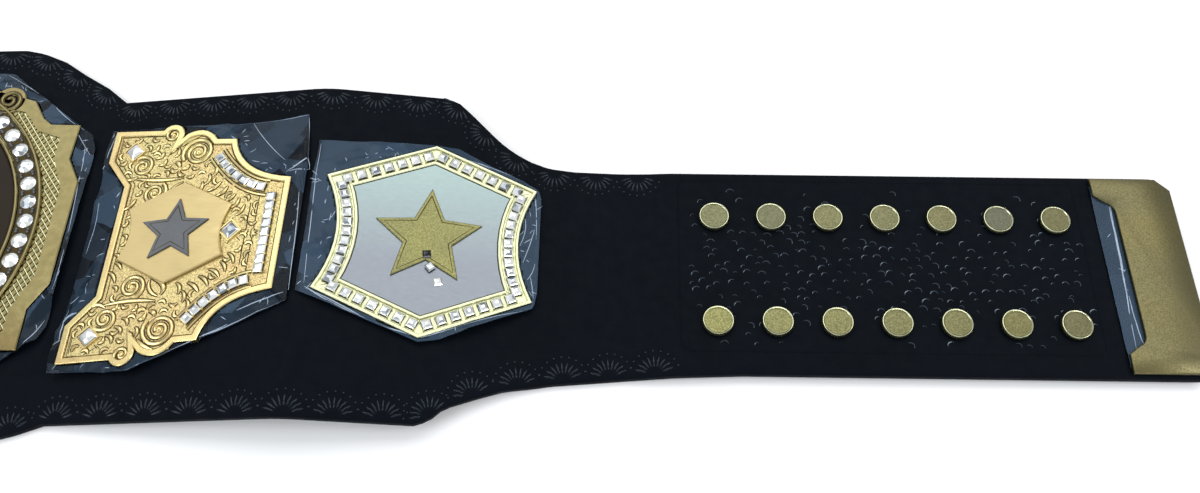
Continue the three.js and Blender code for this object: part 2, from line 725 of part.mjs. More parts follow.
// Edge of the film under the main plate, as shares of the plate's half length and half height
const MAIN_FILM = [[0, 0.975], [0.525, 0.97], [1.005, 0.57], [1.028, 0.5]];

function mainFilm() {
  const [half, tall] = [MAIN_WIDTH / 2, mainHalfHeight];
  const rows = MAIN_FILM.map(([u, v]) => [u * half, v * tall]);
  return film('film_main', rows, rows.map(([at, y]) => [at, -y]), true);
}

// Edges of the film on the side plates, as shares of the plate's length and half height.
const INNER_FILM = {
  top: [[-0.03, 0.99], [0.4, 0.985], [0.78, 0.99], [1.03, 1.04], [1.065, 0.6]],
  bottom: [[-0.03, -1.035], [0.37, -1.035], [0.78, -0.75], [1.03, -0.57], [1.065, -0.54]],
};
const OUTER_FILM = {
  top: [[-0.06, 0.99], [0.35, 1.03], [0.61, 1.01], [0.73, 0.88], [1.01, 0.61], [1.025, 0.52]],
  bottom: [[-0.06, -0.6], [-0.005, -0.65], [0.5, -1.03], [0.6, -0.99], [1.01, -0.63], [1.025, -0.48]],
};

function sideFilm(name, rows, start, length, axis, height) {
  const placed = (shares) => shares.map(([u, v]) => [start + u * length, axis + (v * height) / 2]);
  return film(name, placed(rows.top), placed(rows.bottom), false);
}

function tipFilm(name) {
  const start = beltHalf - TIP_LENGTH - 1;
  const end = start + 2.2 * TIP_RECESS;
  const reach = STRAP_HEIGHT / 2 - 0.6 * TIP_RECESS;
  return film(name, [[start, STRAP_AXIS + reach], [end, STRAP_AXIS + reach]],
    [[start, STRAP_AXIS - reach], [end, STRAP_AXIS - reach]], false);
}

// Placing a plate's own frame on the leather's front
function seated(length, axis, parts) {
  const { x, z, slope } = lie(length, LEATHER + SEAT);
  const group = new THREE.Group();
  group.position.set(x, axis, z);
  group.rotation.y = -slope;
  group.add(...parts);
  return group;
}

// One end of the belt, made on the +X side and mirrored for the other
function end(side, sign, snapProfile) {
  const group = new THREE.Group();
  group.scale.x = sign;
  group.add(seated((innerStart + innerEnd) / 2, INNER_AXIS,
    [innerPlate(side), innerShield(side), innerStar(side), innerStones(side)]));
  group.add(seated(outerMiddle, OUTER_AXIS,
    [outerFrame(side), outerPanel(side), outerStar(side), outerStones(side)]));
  group.add(seated(beltHalf - TIP_LENGTH - TIP_END_MARGIN, STRAP_AXIS, [tipPlate(side)]));
  group.add(sideFilm(`film_inner_${side}`, INNER_FILM, innerStart, INNER_LENGTH, INNER_AXIS, INNER_HEIGHT));
  group.add(sideFilm(`film_outer_${side}`, OUTER_FILM, outerStart, OUTER_LENGTH, OUTER_AXIS, OUTER_HEIGHT));
  group.add(tipFilm(`film_tip_${side}`));
  for (const { name, x, y } of SNAP_PLACES) {
    group.add(mesh(`snap_${side}_${name}`, turned(snapProfile, SNAP_SIDES, x, y), 'brass'));
  }
  return group;
}

const belt = new THREE.Group();
belt.name = 'title_belt';
belt.add(leatherStrap(), mainFilm());
belt.add(seated(0, 0, [mainPlate(), mainStoneRing(), mainDisc()]));
belt.add(end('right', 1, CAP_PROFILE));
belt.add(end('left', -1, STUD_PROFILE));

export default belt;
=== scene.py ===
# The looks of a championship title belt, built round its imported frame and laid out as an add-on:
# one operator for each piece or group of like pieces, and a panel in the sidebar that lists them.
# Metres, in the frame's own axes: X along the belt, Y across it, Z up from the floor.

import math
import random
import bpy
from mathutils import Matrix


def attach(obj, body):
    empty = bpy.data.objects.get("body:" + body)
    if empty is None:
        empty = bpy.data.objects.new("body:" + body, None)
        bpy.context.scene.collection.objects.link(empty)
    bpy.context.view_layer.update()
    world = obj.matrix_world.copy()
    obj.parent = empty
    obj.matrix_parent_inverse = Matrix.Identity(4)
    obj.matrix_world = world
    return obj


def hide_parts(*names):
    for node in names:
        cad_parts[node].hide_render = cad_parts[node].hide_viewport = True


bl_info = {
    "name": "Title Belt",
    "version": (1, 0, 0),
    "blender": (4, 5, 0),
    "location": "View3D > Sidebar > Title Belt",
    "description": "Leather, cast plates, stones, press studs and film of a championship title belt",
    "category": "Object",
}

import bmesh
import bpy
from mathutils import Matrix, Vector, kdtree, noise

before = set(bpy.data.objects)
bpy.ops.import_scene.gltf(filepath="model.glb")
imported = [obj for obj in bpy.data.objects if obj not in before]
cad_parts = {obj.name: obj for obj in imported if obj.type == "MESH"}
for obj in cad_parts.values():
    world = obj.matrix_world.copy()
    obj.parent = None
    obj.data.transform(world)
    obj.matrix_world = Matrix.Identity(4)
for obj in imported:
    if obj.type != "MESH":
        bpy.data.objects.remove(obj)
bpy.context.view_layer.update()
MM = 0.001
SIDES = {"right": 1, "left": -1}
CORNERS = ((-1, -1), (-1, 1), (1, -1), (1, 1))


# Sizes and colours that a user would change


def linear(code):
    """A colour's sRGB hex code as linear red, green and blue."""
    shares = (int(code[i : i + 2], 16) / 255 for i in (1, 3, 5))
    return tuple(s / 12.92 if s <= 0.04045 else ((s + 0.055) / 1.055) ** 2.4 for s in shares)


def length(name, description, millimetres):
    return bpy.props.FloatProperty(
        name=name, description=description, default=millimetres * MM, min=0, precision=5, unit="LENGTH"
    )


def place(name, description, millimetres):
    return bpy.props.FloatProperty(
        name=name, description=description, default=millimetres * MM, precision=5, unit="LENGTH"
    )


def angle(name, description, degrees):
    return bpy.props.FloatProperty(
        name=name, description=description, default=math.radians(degrees), unit="ROTATION"
    )


def count(name, description, number):
    return bpy.props.IntProperty(name=name, description=description, default=number, min=1)


def colour(name, description, code):
    return bpy.props.FloatVectorProperty(
        name=name, description=description, default=linear(code), subtype="COLOR", min=0, max=1
    )


class LeatherSizes(bpy.types.PropertyGroup):
    half_length: length("Half length", "Leather from the middle to a tip", 661.7)
    thickness: length("Thickness", "Thickness of the leather", 4)
    rounding: length("Rounding", "Rounding of the cut edges", 0.9)
    body_top: place("Body top", "Upper edge behind the side plates", 80.2)
    body_bottom: place("Body bottom", "Lower edge under the side plates", -97.8)
    strap_top: place("Strap top", "Upper edge of the strap", 38.9)
    strap_bottom: place("Strap bottom", "Lower edge of the strap", -69.9)
    lobe: length("Lobe", "Reach of the middle lobe", 114.4)
    lobe_foot: length("Lobe foot", "Where the lobe meets the body's edge", 120.5)
    shoulder: length("Shoulder", "Where the shoulders start", 292.8)
    shoulder_top: length("Upper shoulder", "Length of the upper shoulder", 107)
    shoulder_bottom: length("Lower shoulder", "Length of the lower shoulder", 150)
    tip_chamfer: length("Tip chamfer", "Cut-off corner at each tip", 7.5)
    hump_foot_inner: length("Inner hump foot", "Where the leather starts to rise", 119.2)
    hump_top: length("Hump top", "Ridge between the side plates", 232.4)
    hump_foot_outer: length("Outer hump foot", "Where the leather is down again", 345.6)
    hump_tilt: angle("Hump tilt", "Slope of each side of the hump", 8)
    foot_span: length("Foot span", "Length of the bend at a hump's foot", 8)
    hump_span: length("Ridge span", "Length of the bend at the hump's ridge", 16)
    lift_middle: length("Lift", "Where the strap rises onto its press studs", 397.6)
    lift_length: length("Lift length", "Length over which the strap rises", 24)
    lift: length("Lift height", "Height of the strap over the floor", 2.2)
    fan_pitch: length("Fan pitch", "Distance between stamped fans", 21.5)
    fan_radius: length("Fan radius", "Radius of a stamped fan", 11.5)
    stamp_rise: length("Stamp relief", "Height of the stamped relief", 0.4)
    panel_start: length("Panel start", "Where the stamped panel starts", 414)
    panel_end: length("Panel end", "Where the stamped panel ends", 613)
    panel_top: place("Panel top", "Upper border of the stamped panel", 34.6)
    panel_bottom: place("Panel bottom", "Lower border of the stamped panel", -58.5)
    scale_pitch: length("Scale pitch", "Distance between stamped scales", 6.2)
    scale_width: length("Scale width", "Width of a stamped scale", 4.2)


class MainPlateSizes(bpy.types.PropertyGroup):
    width: length("Width", "Width of the main plate", 217)
    half_height: length("Half height", "From its middle to its crest", 100)
    floor: length("Floor", "Thickness of the cast floor", 2.2)
    border_rise: length("Border relief", "Height of the border over the floor", 0.9)
    rim_width: length("Rim width", "Width of the rims beside the stones", 1.6)
    rim_rise: length("Rim relief", "Height of those rims over the floor", 2)
    rim_outer: length("Outer rim radius", "Outer radius of the outer rim", 94.5)
    channel_outer: length("Channel outer radius", "Outer radius of the stones' channel", 92.9)
    channel_inner: length("Channel inner radius", "Inner radius of the stones' channel", 82.9)
    curl_radius: length("Curl radius", "Radius of the four corner curls", 8.5)
    lozenge: length("Lozenge pitch", "Distance between the field's raised lozenges", 3.2)
    lozenge_rise: length("Lozenge relief", "Height of a lozenge over the floor", 0.6)


class InnerPlateSizes(bpy.types.PropertyGroup):
    start: length("Start", "Length along the leather at which the plate starts", 122.7)
    width: length("Length", "Length along the belt", 100)
    height: length("Height", "Height across the belt", 133)
    axis: place("Axis", "Height of its middle line", -5.8)
    floor: length("Floor", "Thickness of the cast floor", 2.2)
    border_rise: length("Border relief", "Height of the border over the floor", 0.9)
    border_width: length("Border width", "Width of the raised border", 2.6)
    scroll_rise: length("Scroll relief", "Height of the widest scrolls over the floor", 0.9)
    shield_width: length("Shield width", "Width of the shield", 54)
    shield_height: length("Shield height", "Height of the shield", 56)
    shield_offset: place("Shield offset", "Height of the shield over the plate's middle", 2.5)
    shield_thickness: length("Shield thickness", "Thickness of the shield", 1.6)
    star: length("Star", "Radius of the star on the shield", 18)


class OuterPlateSizes(bpy.types.PropertyGroup):
    start: length("Start", "Length along the leather at which the plate starts", 238.5)
    width: length("Length", "Length along the belt", 103.6)
    height: length("Height", "Height across the belt", 105.2)
    side: length("Side", "Height of its hollow sides", 61.4)
    hollow: length("Hollow", "Depth of its hollow sides", 8)
    axis: place("Axis", "Height of its middle", -5)
    floor: length("Floor", "Thickness of the frame's floor", 2.2)
    frame_width: length("Frame width", "Width of the frame", 10)
    frame_rim: length("Frame rim", "Width of the frame's raised rims", 1.6)
    frame_rise: length("Frame relief", "Height of the rims over the floor", 1.1)
    panel_drop: length("Panel drop", "How far the panel lies under the rims", 0.6)
    star: length("Star", "Radius of the star on the panel", 27)


class StoneSizes(bpy.types.PropertyGroup):
    round_size: length("Round stone", "Girdle of a round stone", 8)
    round_count: count("Round stones", "Stones in the main plate's ring", 50)
    square_size: length("Square stone", "Side of a square stone", 4.6)
    single_size: length("Single stone", "Side of a single stone", 6.6)
    rise: length("Stone height", "Height of a stone's table over its seat", 1.5)
    setting: length("Setting", "Thickness of the setting under a stone", 0.5)
    row_pitch: length("Close pitch", "Distance between stones on hollow sides", 5.2)
    slant_pitch: length("Wide pitch", "Distance between stones on slants", 6.9)


class StudSizes(bpy.types.PropertyGroup):
    columns: count("Columns", "Press studs in a row", 7)
    first: length("First stud", "Length along the leather of the first stud", 431.6)
    pitch: length("Pitch", "Distance between studs in a row", 28.15)
    row_spacing: length("Row spacing", "Distance between the two rows", 56.6)
    axis: place("Axis", "Height of the strap's middle line", -15.5)
    cap: length("Cap", "Diameter of a cap", 15.3)
    cap_rise: length("Cap height", "Height of a cap over the leather", 2.7)
    socket: length("Socket", "Diameter of a socket", 12.4)
    back: length("Back height", "Height of the part behind the leather", 1.95)
    post: length("Post", "Diameter of the post through the leather", 5)
    ball: length("Ball", "Diameter of the stud that snaps in", 7.4)
    ball_rise: length("Ball height", "Height of that stud over the leather", 3.2)


class TipSizes(bpy.types.PropertyGroup):
    length: length("Length", "Length of a tip plate", 39.2)
    half_height: length("Half height", "From its middle to its edge", 52.4)
    thickness: length("Thickness", "Thickness of the sheet", 2)
    chamfer: length("Chamfer", "Cut-off outer corners", 6.5)
    recess: length("Recess", "Depth of the recess in its inner side", 9.5)
    end_margin: length("End margin", "Leather that shows past the plate", 0.6)


class FilmSizes(bpy.types.PropertyGroup):
    clearance: length("Clearance", "Room on each side of the film", 0.25)
    gauge: length("Gauge", "Thickness of the film's seat", 0.2)
    cell: length("Cell", "Size of the sheet's cells", 1.25)
    fold: length("Fold", "Height of the largest folds", 5)
    drape: length("Drape", "Length over which the film falls from a plate", 7)


class Colours(bpy.types.PropertyGroup):
    leather: colour("Leather", "Dyed and finished hide", "#070c13")
    bright_gold: colour("Bright gold", "Plating of the inner plates", "#dfdb9c")
    # Warm gold is a painted reflection, mixed in patches into the bright plating.
    warm_reflection_gold: colour("Warm gold", "The same plating where it is thicker", "#d5ac7c")
    main_gold: colour("Main gold", "Plating of the main plate", "#857d58")
    pale_gold: colour("Pale gold", "Plating of the outer frames", "#d9dbb2")
    shield: colour("Shield", "Plating of the shields", "#d0bc88")
    # Also the colour of painted shade round raised strokes and under stones.
    wax_and_painted_shade: colour("Patina", "Dark wax left in engraved lines", "#33290f")
    silver: colour("Silver", "Satin panels", "#7c8188")
    mark: colour("Mark", "Grey stars on the shields", "#6f7275")
    enamel: colour("Enamel", "Main disc", "#1d150d")
    brass: colour("Brass", "Press studs and tip plates", "#838055")
    nickel: colour("Nickel", "Greyer press studs", "#5e6055")
    # The dark and light facets are the two ends of the stones' painted reflections.
    stone_dark: colour("Dark facet", "Facets turned from the light", "#7d8790")
    stone_light: colour("Light facet", "Facets turned to the light", "#f8faf6")
    # Crease is a painted glint along the film's sharp folds.
    crease_glint: colour("Crease", "Sharp folds of the film, whitened by stress", "#c3d4e8")
    film: colour("Film", "Clear film over black leather", "#36485a")
    floor: colour("Floor", "Studio floor", "#f3f3f3")


class StageSizes(bpy.types.PropertyGroup):
    camera_at: bpy.props.FloatVectorProperty(
        name="Camera", description="Where the camera stands", default=(0.3765, -0.2507, 0.4701), unit="LENGTH"
    )
    camera_turn: bpy.props.FloatVectorProperty(
        name="Camera turn",
        description="How the camera is turned",
        default=(math.radians(28), 0, math.radians(0.8)),
        unit="ROTATION",
    )
    lens: bpy.props.FloatProperty(
        name="Lens", description="Focal length in millimetres", default=32.09, min=1
    )
    floor_size: length("Floor", "Side of the studio floor", 9000)


class TitleBelt(bpy.types.PropertyGroup):
    leather: bpy.props.PointerProperty(type=LeatherSizes)
    main: bpy.props.PointerProperty(type=MainPlateSizes)
    inner: bpy.props.PointerProperty(type=InnerPlateSizes)
    outer: bpy.props.PointerProperty(type=OuterPlateSizes)
    stones: bpy.props.PointerProperty(type=StoneSizes)
    studs: bpy.props.PointerProperty(type=StudSizes)
    tips: bpy.props.PointerProperty(type=TipSizes)
    film: bpy.props.PointerProperty(type=FilmSizes)
    colours: bpy.props.PointerProperty(type=Colours)
    stage: bpy.props.PointerProperty(type=StageSizes)


def belt():
    return bpy.context.scene.title_belt


# Modelling, as by hand


def leave_edit():
    """Leaves edit mode and deselects everything, so that an operator acts on the new piece alone."""
    if bpy.context.mode != "OBJECT":
        bpy.ops.object.mode_set(mode="OBJECT")
    bpy.ops.object.select_all(action="DESELECT")


def primitive(add, **settings):
    leave_edit()
    add(**settings)
    return bpy.context.active_object


def pick(*pieces):
    leave_edit()
    for piece in pieces:
        piece.select_set(True)
    bpy.context.view_layer.objects.active = pieces[0]


def edit(piece):
    """Opens a piece in edit mode with all of it selected."""
    pick(piece)
    bpy.ops.object.mode_set(mode="EDIT")
    bpy.ops.mesh.select_all(action="SELECT")


def close_shell(piece):
    """Merges doubles and turns the faces outwards."""
    edit(piece)
    bpy.ops.mesh.remove_doubles(threshold=0.002 * MM)
    bpy.ops.mesh.normals_make_consistent(inside=False)
    leave_edit()
    return piece


def moved(piece, matrix):
    """Moves, turns or mirrors a piece's mesh, with its faces still outwards."""
    piece.data.transform(matrix)
    if matrix.determinant() < 0:
        piece.data.flip_normals()
    piece.data.update()
    return piece


def lifted(piece, height):
    return moved(piece, Matrix.Translation((0, 0, height)))


def lofted(loops, ring=False):
    """A closed body through loops of equally many corners. A circle's corners are moved onto the first
    loop, and each next loop is extruded from it. A ring's last loop meets its first."""
    fill = "NOTHING" if ring else "NGON"
    piece = primitive(bpy.ops.mesh.primitive_circle_add, vertices=len(loops[0]), fill_type=fill)
    for vertex, corner in zip(piece.data.vertices, loops[0]):
        vertex.co = corner
    edit(piece)
    for before, after in zip(loops, loops[1:]):
        tree = kdtree.KDTree(len(before))
        for i, corner in enumerate(before):
            tree.insert(corner, i)
        tree.balance()
        bpy.ops.mesh.extrude_region_move()
        edited = bmesh.from_edit_mesh(piece.data)
        for vertex in [v for v in edited.verts if v.select]:
            vertex.co = after[tree.find(vertex.co)[1]]
        bmesh.update_edit_mesh(piece.data)
    return close_shell(piece)


def at_height(points, height):
    return [(x, y, height) for x, y in points]


def turned(profile, steps, ring=False):
    """A profile of (radius, height) rows, spun about the upright axis."""
    piece = primitive(bpy.ops.mesh.primitive_circle_add, vertices=len(profile), fill_type="NOTHING")
    for vertex, (radius, height) in zip(piece.data.vertices, profile):
        vertex.co = (radius, 0, height)
    edit(piece)
    if not ring:
        edited = bmesh.from_edit_mesh(piece.data)
        edited.verts.ensure_lookup_table()
        closing = edited.edges.get((edited.verts[0], edited.verts[len(profile) - 1]))
        edited.edges.remove(closing)
        bmesh.update_edit_mesh(piece.data)
    bpy.ops.mesh.spin(steps=steps, angle=2 * math.pi, center=(0, 0, 0), axis=(0, 0, 1))
    return close_shell(piece)


def drawn(strokes, flatness):
    """Raised lines of a casting or a stamp: a curve with a round section, whose rows are (x, y, half width)
    in millimetres, made a mesh and pressed flat. Its lower half is sunk in what carries it."""
    piece = primitive(bpy.ops.curve.primitive_bezier_curve_add)
    curve = piece.data
    curve.splines.clear()
    for stroke in strokes:
        spline = curve.splines.new("POLY")
        spline.points.add(len(stroke) - 1)
        for point, (x, y, half_width) in zip(spline.points, stroke):
            point.co = (x * MM, y * MM, 0, 1)
            point.radius = half_width
    curve.bevel_depth = MM
    curve.bevel_resolution = 2
    curve.use_fill_caps = True
    pick(piece)
    bpy.ops.object.convert(target="MESH")
    piece = bpy.context.active_object
    moved(piece, Matrix.Diagonal((1, 1, flatness, 1)))
    return close_shell(piece)


def copies(piece, places):
    """One piece with a copy of the modelled one at each place. The modelled one is used up."""
    corners = [v.co.copy() for v in piece.data.vertices]
    faces = [tuple(p.vertices) for p in piece.data.polygons]
    all_corners = [at @ corner for at in places for corner in corners]
    all_faces = [
        tuple(len(corners) * i + k for k in (reversed(face) if at.determinant() < 0 else face))
        for i, at in enumerate(places)
        for face in faces
    ]
    mesh = bpy.data.meshes.new(piece.name)
    mesh.from_pydata(all_corners, [], all_faces)
    for material in piece.data.materials:
        mesh.materials.append(material)
    if len(mesh.materials) > 1:
        indices = [p.material_index for p in piece.data.polygons] * len(places)
        mesh.polygons.foreach_set("material_index", indices)
    used = piece.data
    piece.data = mesh
    bpy.data.meshes.remove(used)
    mesh.update()
    return piece


def joined(*pieces):
    if len(pieces) > 1:
        pick(*pieces)
        bpy.ops.object.join()
    return pieces[0]


def twin(piece, matrix):
    """A copy of a piece with its own mesh, moved or mirrored."""
    pick(piece)
    bpy.ops.object.duplicate()
    return moved(bpy.context.active_object, matrix)


def softened(piece, width, segments=2, limit=40):
    """Rounds the edges that are sharper than a limit in degrees."""
    pick(piece)
    bevel = piece.modifiers.new("edges", "BEVEL")
    bevel.width = width
    bevel.segments = segments
    bevel.limit_method = "ANGLE"
    bevel.angle_limit = math.radians(limit)
    bpy.ops.object.modifier_apply(modifier=bevel.name)
    return piece


def coated(piece, *finishes):
    piece.data.materials.clear()
    for finish in finishes:
        piece.data.materials.append(material(finish))
    return piece


def toned(piece, faces_each, seed):
    """Gives each face a tone from 0 to 1, a painted reflection drawn at random: facets of one stone differ,
    and so do the stones.
    """
    darkest, lightest, spread = 0.35, 0.75, 0.45
    draw = random.Random(seed)
    tones = []
    for i in range(len(piece.data.polygons)):
        if i % faces_each == 0:
            base = draw.uniform(darkest, lightest)
        tones.append(min(1, max(0, base + draw.uniform(-spread, spread))))
    attribute = piece.data.attributes.new("tone", "FLOAT", "FACE")
    attribute.data.foreach_set("value", tones)
    return piece


def finished(piece, name, slot, *nodes, smooth=32):
    """Names a piece, shades it, lets it ride on the belt and hides the nodes that it stands for."""
    piece.name = name
    piece.data.name = name
    pick(piece)
    bpy.ops.object.shade_smooth_by_angle(angle=math.radians(smooth))
    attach(piece, "root")
    if nodes:
        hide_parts(*nodes)
    return piece


def both_sides(piece, name, slot, node=None, smooth=32):
    """Finishes a piece of the right half and its mirrored twin on the left."""
    other = twin(piece, Matrix.Scale(-1, 4, (1, 0, 0)))
    for made, side in ((piece, "right"), (other, "left")):
        nodes = [f"{node}_{side}"] if node else []
        finished(made, f"{name}_{side}", slot, *nodes, smooth=smooth)


# Outlines


def inset(points, distance):
    """A closed outline moved inwards, with mitred corners."""
    sharpest = 0.3
    area = sum(a[0] * b[1] - b[0] * a[1] for a, b in zip(points, points[1:] + points[:1]))
    side = math.copysign(distance, area)
    moved_points = []
    for i, point in enumerate(points):
        here = Vector(point)
        into = (here - Vector(points[i - 1])).normalized()
        out = (Vector(points[(i + 1) % len(points)]) - here).normalized()
        normal = Vector((-into.y - out.y, into.x + out.x)).normalized()
        reach = side / max(sharpest, normal.dot(Vector((-into.y, into.x))))
        moved_points.append(tuple(here + reach * normal))
    return moved_points


def bend(start, middle, end, steps):
    """Points of a quadratic curve, both ends among them."""
    rows = []
    for i in range(steps + 1):
        t = i / steps
        shares = ((1 - t) ** 2, 2 * t * (1 - t), t * t)
        rows.append(tuple(sum(w * p[k] for w, p in zip(shares, (start, middle, end))) for k in (0, 1)))
    return rows


def arc(centre, radius, start, end, steps):
    """Points of an arc between two angles in degrees, counted from X."""
    rows = []
    for i in range(steps + 1):
        at = math.radians(start + (end - start) * i / steps)
        rows.append((centre[0] + radius * math.cos(at), centre[1] + radius * math.sin(at)))
    return rows


def star_outline(radius):
    waist = 0.46
    points = []
    for i in range(10):
        reach = (waist if i % 2 else 1) * radius
        at = math.pi / 2 + i * math.pi / 5
        points.append((reach * math.cos(at), reach * math.sin(at)))
    return points


def run_along(points, pitch, margin):
    """Places at an even pitch along an open line, centred on it: (x, y, direction)."""
    line = [Vector(p) for p in points]
    ends = [0]
    for a, b in zip(line, line[1:]):
        ends.append(ends[-1] + (b - a).length)
    number = int((ends[-1] - margin) / pitch) + 1
    rows = []
    for i in range(number):
        at = ends[-1] / 2 + (i - (number - 1) / 2) * pitch
        k = next((k for k in range(1, len(ends)) if ends[k] >= at), len(ends) - 1)
        along = (line[k] - line[k - 1]).normalized()
        here = line[k - 1] + along * (at - ends[k - 1])
        rows.append((here.x, here.y, math.atan2(along.y, along.x)))
    return rows


def standing(x, y, z=0, turn=0, scale=1):
    """The place of a copy: a point, a turn about the upright axis and a scale."""
    return Matrix.LocRotScale(Vector((x, y, z)), Matrix.Rotation(turn, 3, "Z"), Vector((scale,) * 3))


# How the leather lies


def bends():
    """Where the leather bends along its length: (length, turn, span)."""
    s = belt().leather
    lift_tilt = math.asin(s.lift / s.lift_length)
    return (
        (s.hump_foot_inner, s.hump_tilt, s.foot_span),
        (s.hump_top, -2 * s.hump_tilt, s.hump_span),
        (s.hump_foot_outer, s.hump_tilt, s.foot_span),
        (s.lift_middle - s.lift_length / 2, lift_tilt, s.foot_span),
        (s.lift_middle + s.lift_length / 2, -lift_tilt, s.foot_span),
    )


def lie(rows, along, height):
    """Where a point at a length from the middle and a height over the leather's back lies: x, z and slope."""
    x = z = slope = done = 0
    for at, turn, span in rows:
        start = at - span / 2
        straight = max(0, min(along, start) - done)
        x += straight * math.cos(slope)
        z += straight * math.sin(slope)
        done += straight
        if along <= start:
            break
        share = min(1, (along - start) / span)
        curvature = turn / span
        following = slope + turn * share
        x += (math.sin(following) - math.sin(slope)) / curvature
        z += (math.cos(slope) - math.cos(following)) / curvature
        slope = following
        done += span * share
        if share < 1:
            break
    rest = max(0, along - done)
    x += rest * math.cos(slope) - height * math.sin(slope)
    z += rest * math.sin(slope) + height * math.cos(slope)
    return x, z, slope


def laid(piece):
    """Bends a flat piece onto the leather. Its x is the length from the belt's middle, and its z the
    height over the leather's back."""
    rows = bends()
    for vertex in piece.data.vertices:
        x, z, _ = lie(rows, abs(vertex.co.x), vertex.co.z)
        vertex.co = (math.copysign(x, vertex.co.x), vertex.co.y, z)
    piece.data.update()
    return piece


def seat_height():
    """The underside of a plate over the leather's back, with the film between them."""
    s = belt()
    return s.leather.thickness + 2 * s.film.clearance + s.film.gauge


def seat(along, axis):
    """The place of a plate's own frame on the leather's front."""
    x, z, slope = lie(bends(), along, seat_height())
    return Matrix.Translation((x, axis, z)) @ Matrix.Rotation(-slope, 4, "Y")


# Shares of the lobe's foot and of its rise over the body's edge
LOBE = ((0, 0.94), (0.28, 0.97), (0.48, 1), (0.565, 0.94), (0.68, 0.77), (0.785, 0.52), (0.9, 0.28), (1, 0))

# Shares of each shoulder's length and of its fall from the body's edge to the strap's
SHOULDER_TOP = (
    (0.06, 0.05), (0.12, 0.19), (0.27, 0.58), (0.34, 0.72), (0.42, 0.835), (0.52, 0.92), (0.64, 0.965),
    (1, 1),
)
SHOULDER_BOTTOM = (
    (0.04, 0.1), (0.08, 0.31), (0.185, 0.53), (0.26, 0.67), (0.4, 0.8), (0.62, 0.905), (0.82, 0.96), (1, 1),
)


def edge_rows(upper):
    """The leather's upper or lower edge, as (length, y) rows."""
    s = belt().leather
    body, strap, lobe = (
        (s.body_top, s.strap_top, s.lobe) if upper else (s.body_bottom, s.strap_bottom, -s.lobe)
    )
    table, reach = (SHOULDER_TOP, s.shoulder_top) if upper else (SHOULDER_BOTTOM, s.shoulder_bottom)
    corner = strap - math.copysign(s.tip_chamfer, strap)
    return [
        *((share * s.lobe_foot, body + rise * (lobe - body)) for share, rise in LOBE),
        (s.shoulder, body),
        *((s.shoulder + share * reach, body + fall * (strap - body)) for share, fall in table),
        (s.half_length - s.tip_chamfer, strap),
        (s.half_length, corner),
    ]


def across(rows, along):
    """The height of an edge at a length, on straight stretches between its rows."""
    for (x0, y0), (x1, y1) in zip(rows, rows[1:]):
        if along <= x1:
            return y0 + (y1 - y0) * (along - x0) / (x1 - x0)
    return rows[-1][1]


# Materials: a function for each finish, and its material has its name


def add_node(tree, kind, links=None, **settings):
    """A shader node with its settings. links gives its inputs, each a value or the output that it takes."""
    node = tree.nodes.new(f"ShaderNode{kind}")
    for name, value in settings.items():
        setattr(node, name, value)
    for name, source in (links or {}).items():
        if isinstance(source, bpy.types.NodeSocket):
            tree.links.new(source, node.inputs[name])
        else:
            node.inputs[name].default_value = source
    return node


def shade(tree, **inputs):
    """The surface shader with its inputs, by their names with spaces as underscores."""
    links = {name.replace("_", " "): value for name, value in inputs.items()}
    shader = add_node(tree, "BsdfPrincipled", links)
    add_node(tree, "OutputMaterial", {"Surface": shader.outputs["BSDF"]})


def opaque(rgb):
    return (*rgb, 1)


# Noise seldom leaves the range between these two
NOISE_START = 0.3
NOISE_END = 0.7


def grain(tree, size, detail=2, stretch=(1, 1, 1)):
    """Noise whose patches are about that size, in metres."""
    position = add_node(tree, "TexCoord").outputs["Object"]
    scale = tuple(s / size for s in stretch)
    at = add_node(tree, "Mapping", {"Vector": position, "Scale": scale}).outputs["Vector"]
    noise_node = add_node(tree, "TexNoise", {"Vector": at, "Scale": 1, "Detail": detail})
    return noise_node.outputs["Fac"]


def cells(tree, size, **settings):
    """Rounded cells of about that size, in metres."""
    position = add_node(tree, "TexCoord").outputs["Object"]
    return add_node(tree, "TexVoronoi", {"Vector": position, "Scale": 1 / size}, **settings)


def place_along(tree, axis):
    """How far along an axis of the belt a point lies, in metres."""
    position = add_node(tree, "TexCoord").outputs["Object"]
    return add_node(tree, "SeparateXYZ", {"Vector": position}).outputs[axis]


def from_middle(tree):
    """The distance along the belt from its middle, in metres, the same on both sides."""
    along = place_along(tree, "X")
    return add_node(tree, "Math", {0: along}, operation="ABSOLUTE").outputs["Value"]


def times(share, rgb):
    return tuple(share * c for c in rgb)


def patches(tree, size, first, second, detail=2):
    """A colour that drifts between two in patches of about that size, in metres."""
    pattern = grain(tree, size, detail)
    links = {"Factor": pattern, 6: opaque(first), 7: opaque(second)}
    return add_node(tree, "Mix", links, data_type="RGBA").outputs[2]


def fading(tree, value, first, second, start=NOISE_START, end=NOISE_END, shares=(0, 1)):
    """A colour that goes from one to another as a value goes from its start to its end. shares gives how
    much of the second colour shows at each."""
    reach = {"Value": value, "From Min": start, "From Max": end, "To Min": shares[0], "To Max": shares[1]}
    factor = add_node(tree, "MapRange", reach).outputs["Result"]
    links = {"Factor": factor, 6: first, 7: second}
    return add_node(tree, "Mix", links, data_type="RGBA").outputs[2]


def uneven(tree, size, low, high):
    """A value that varies between two in patches of about that size, in metres."""
    reach = {"From Min": NOISE_START, "From Max": NOISE_END, "To Min": low, "To Max": high}
    return add_node(tree, "MapRange", {"Value": grain(tree, size), **reach}).outputs["Result"]


def pitted(tree, size, depth, detail=2, **under):
    """A relief of dents of about that size and of that depth, in metres, over another one if it is given."""
    links = {"Height": grain(tree, size, detail), "Distance": depth, "Strength": 1, **under}
    return add_node(tree, "Bump", links).outputs["Normal"]


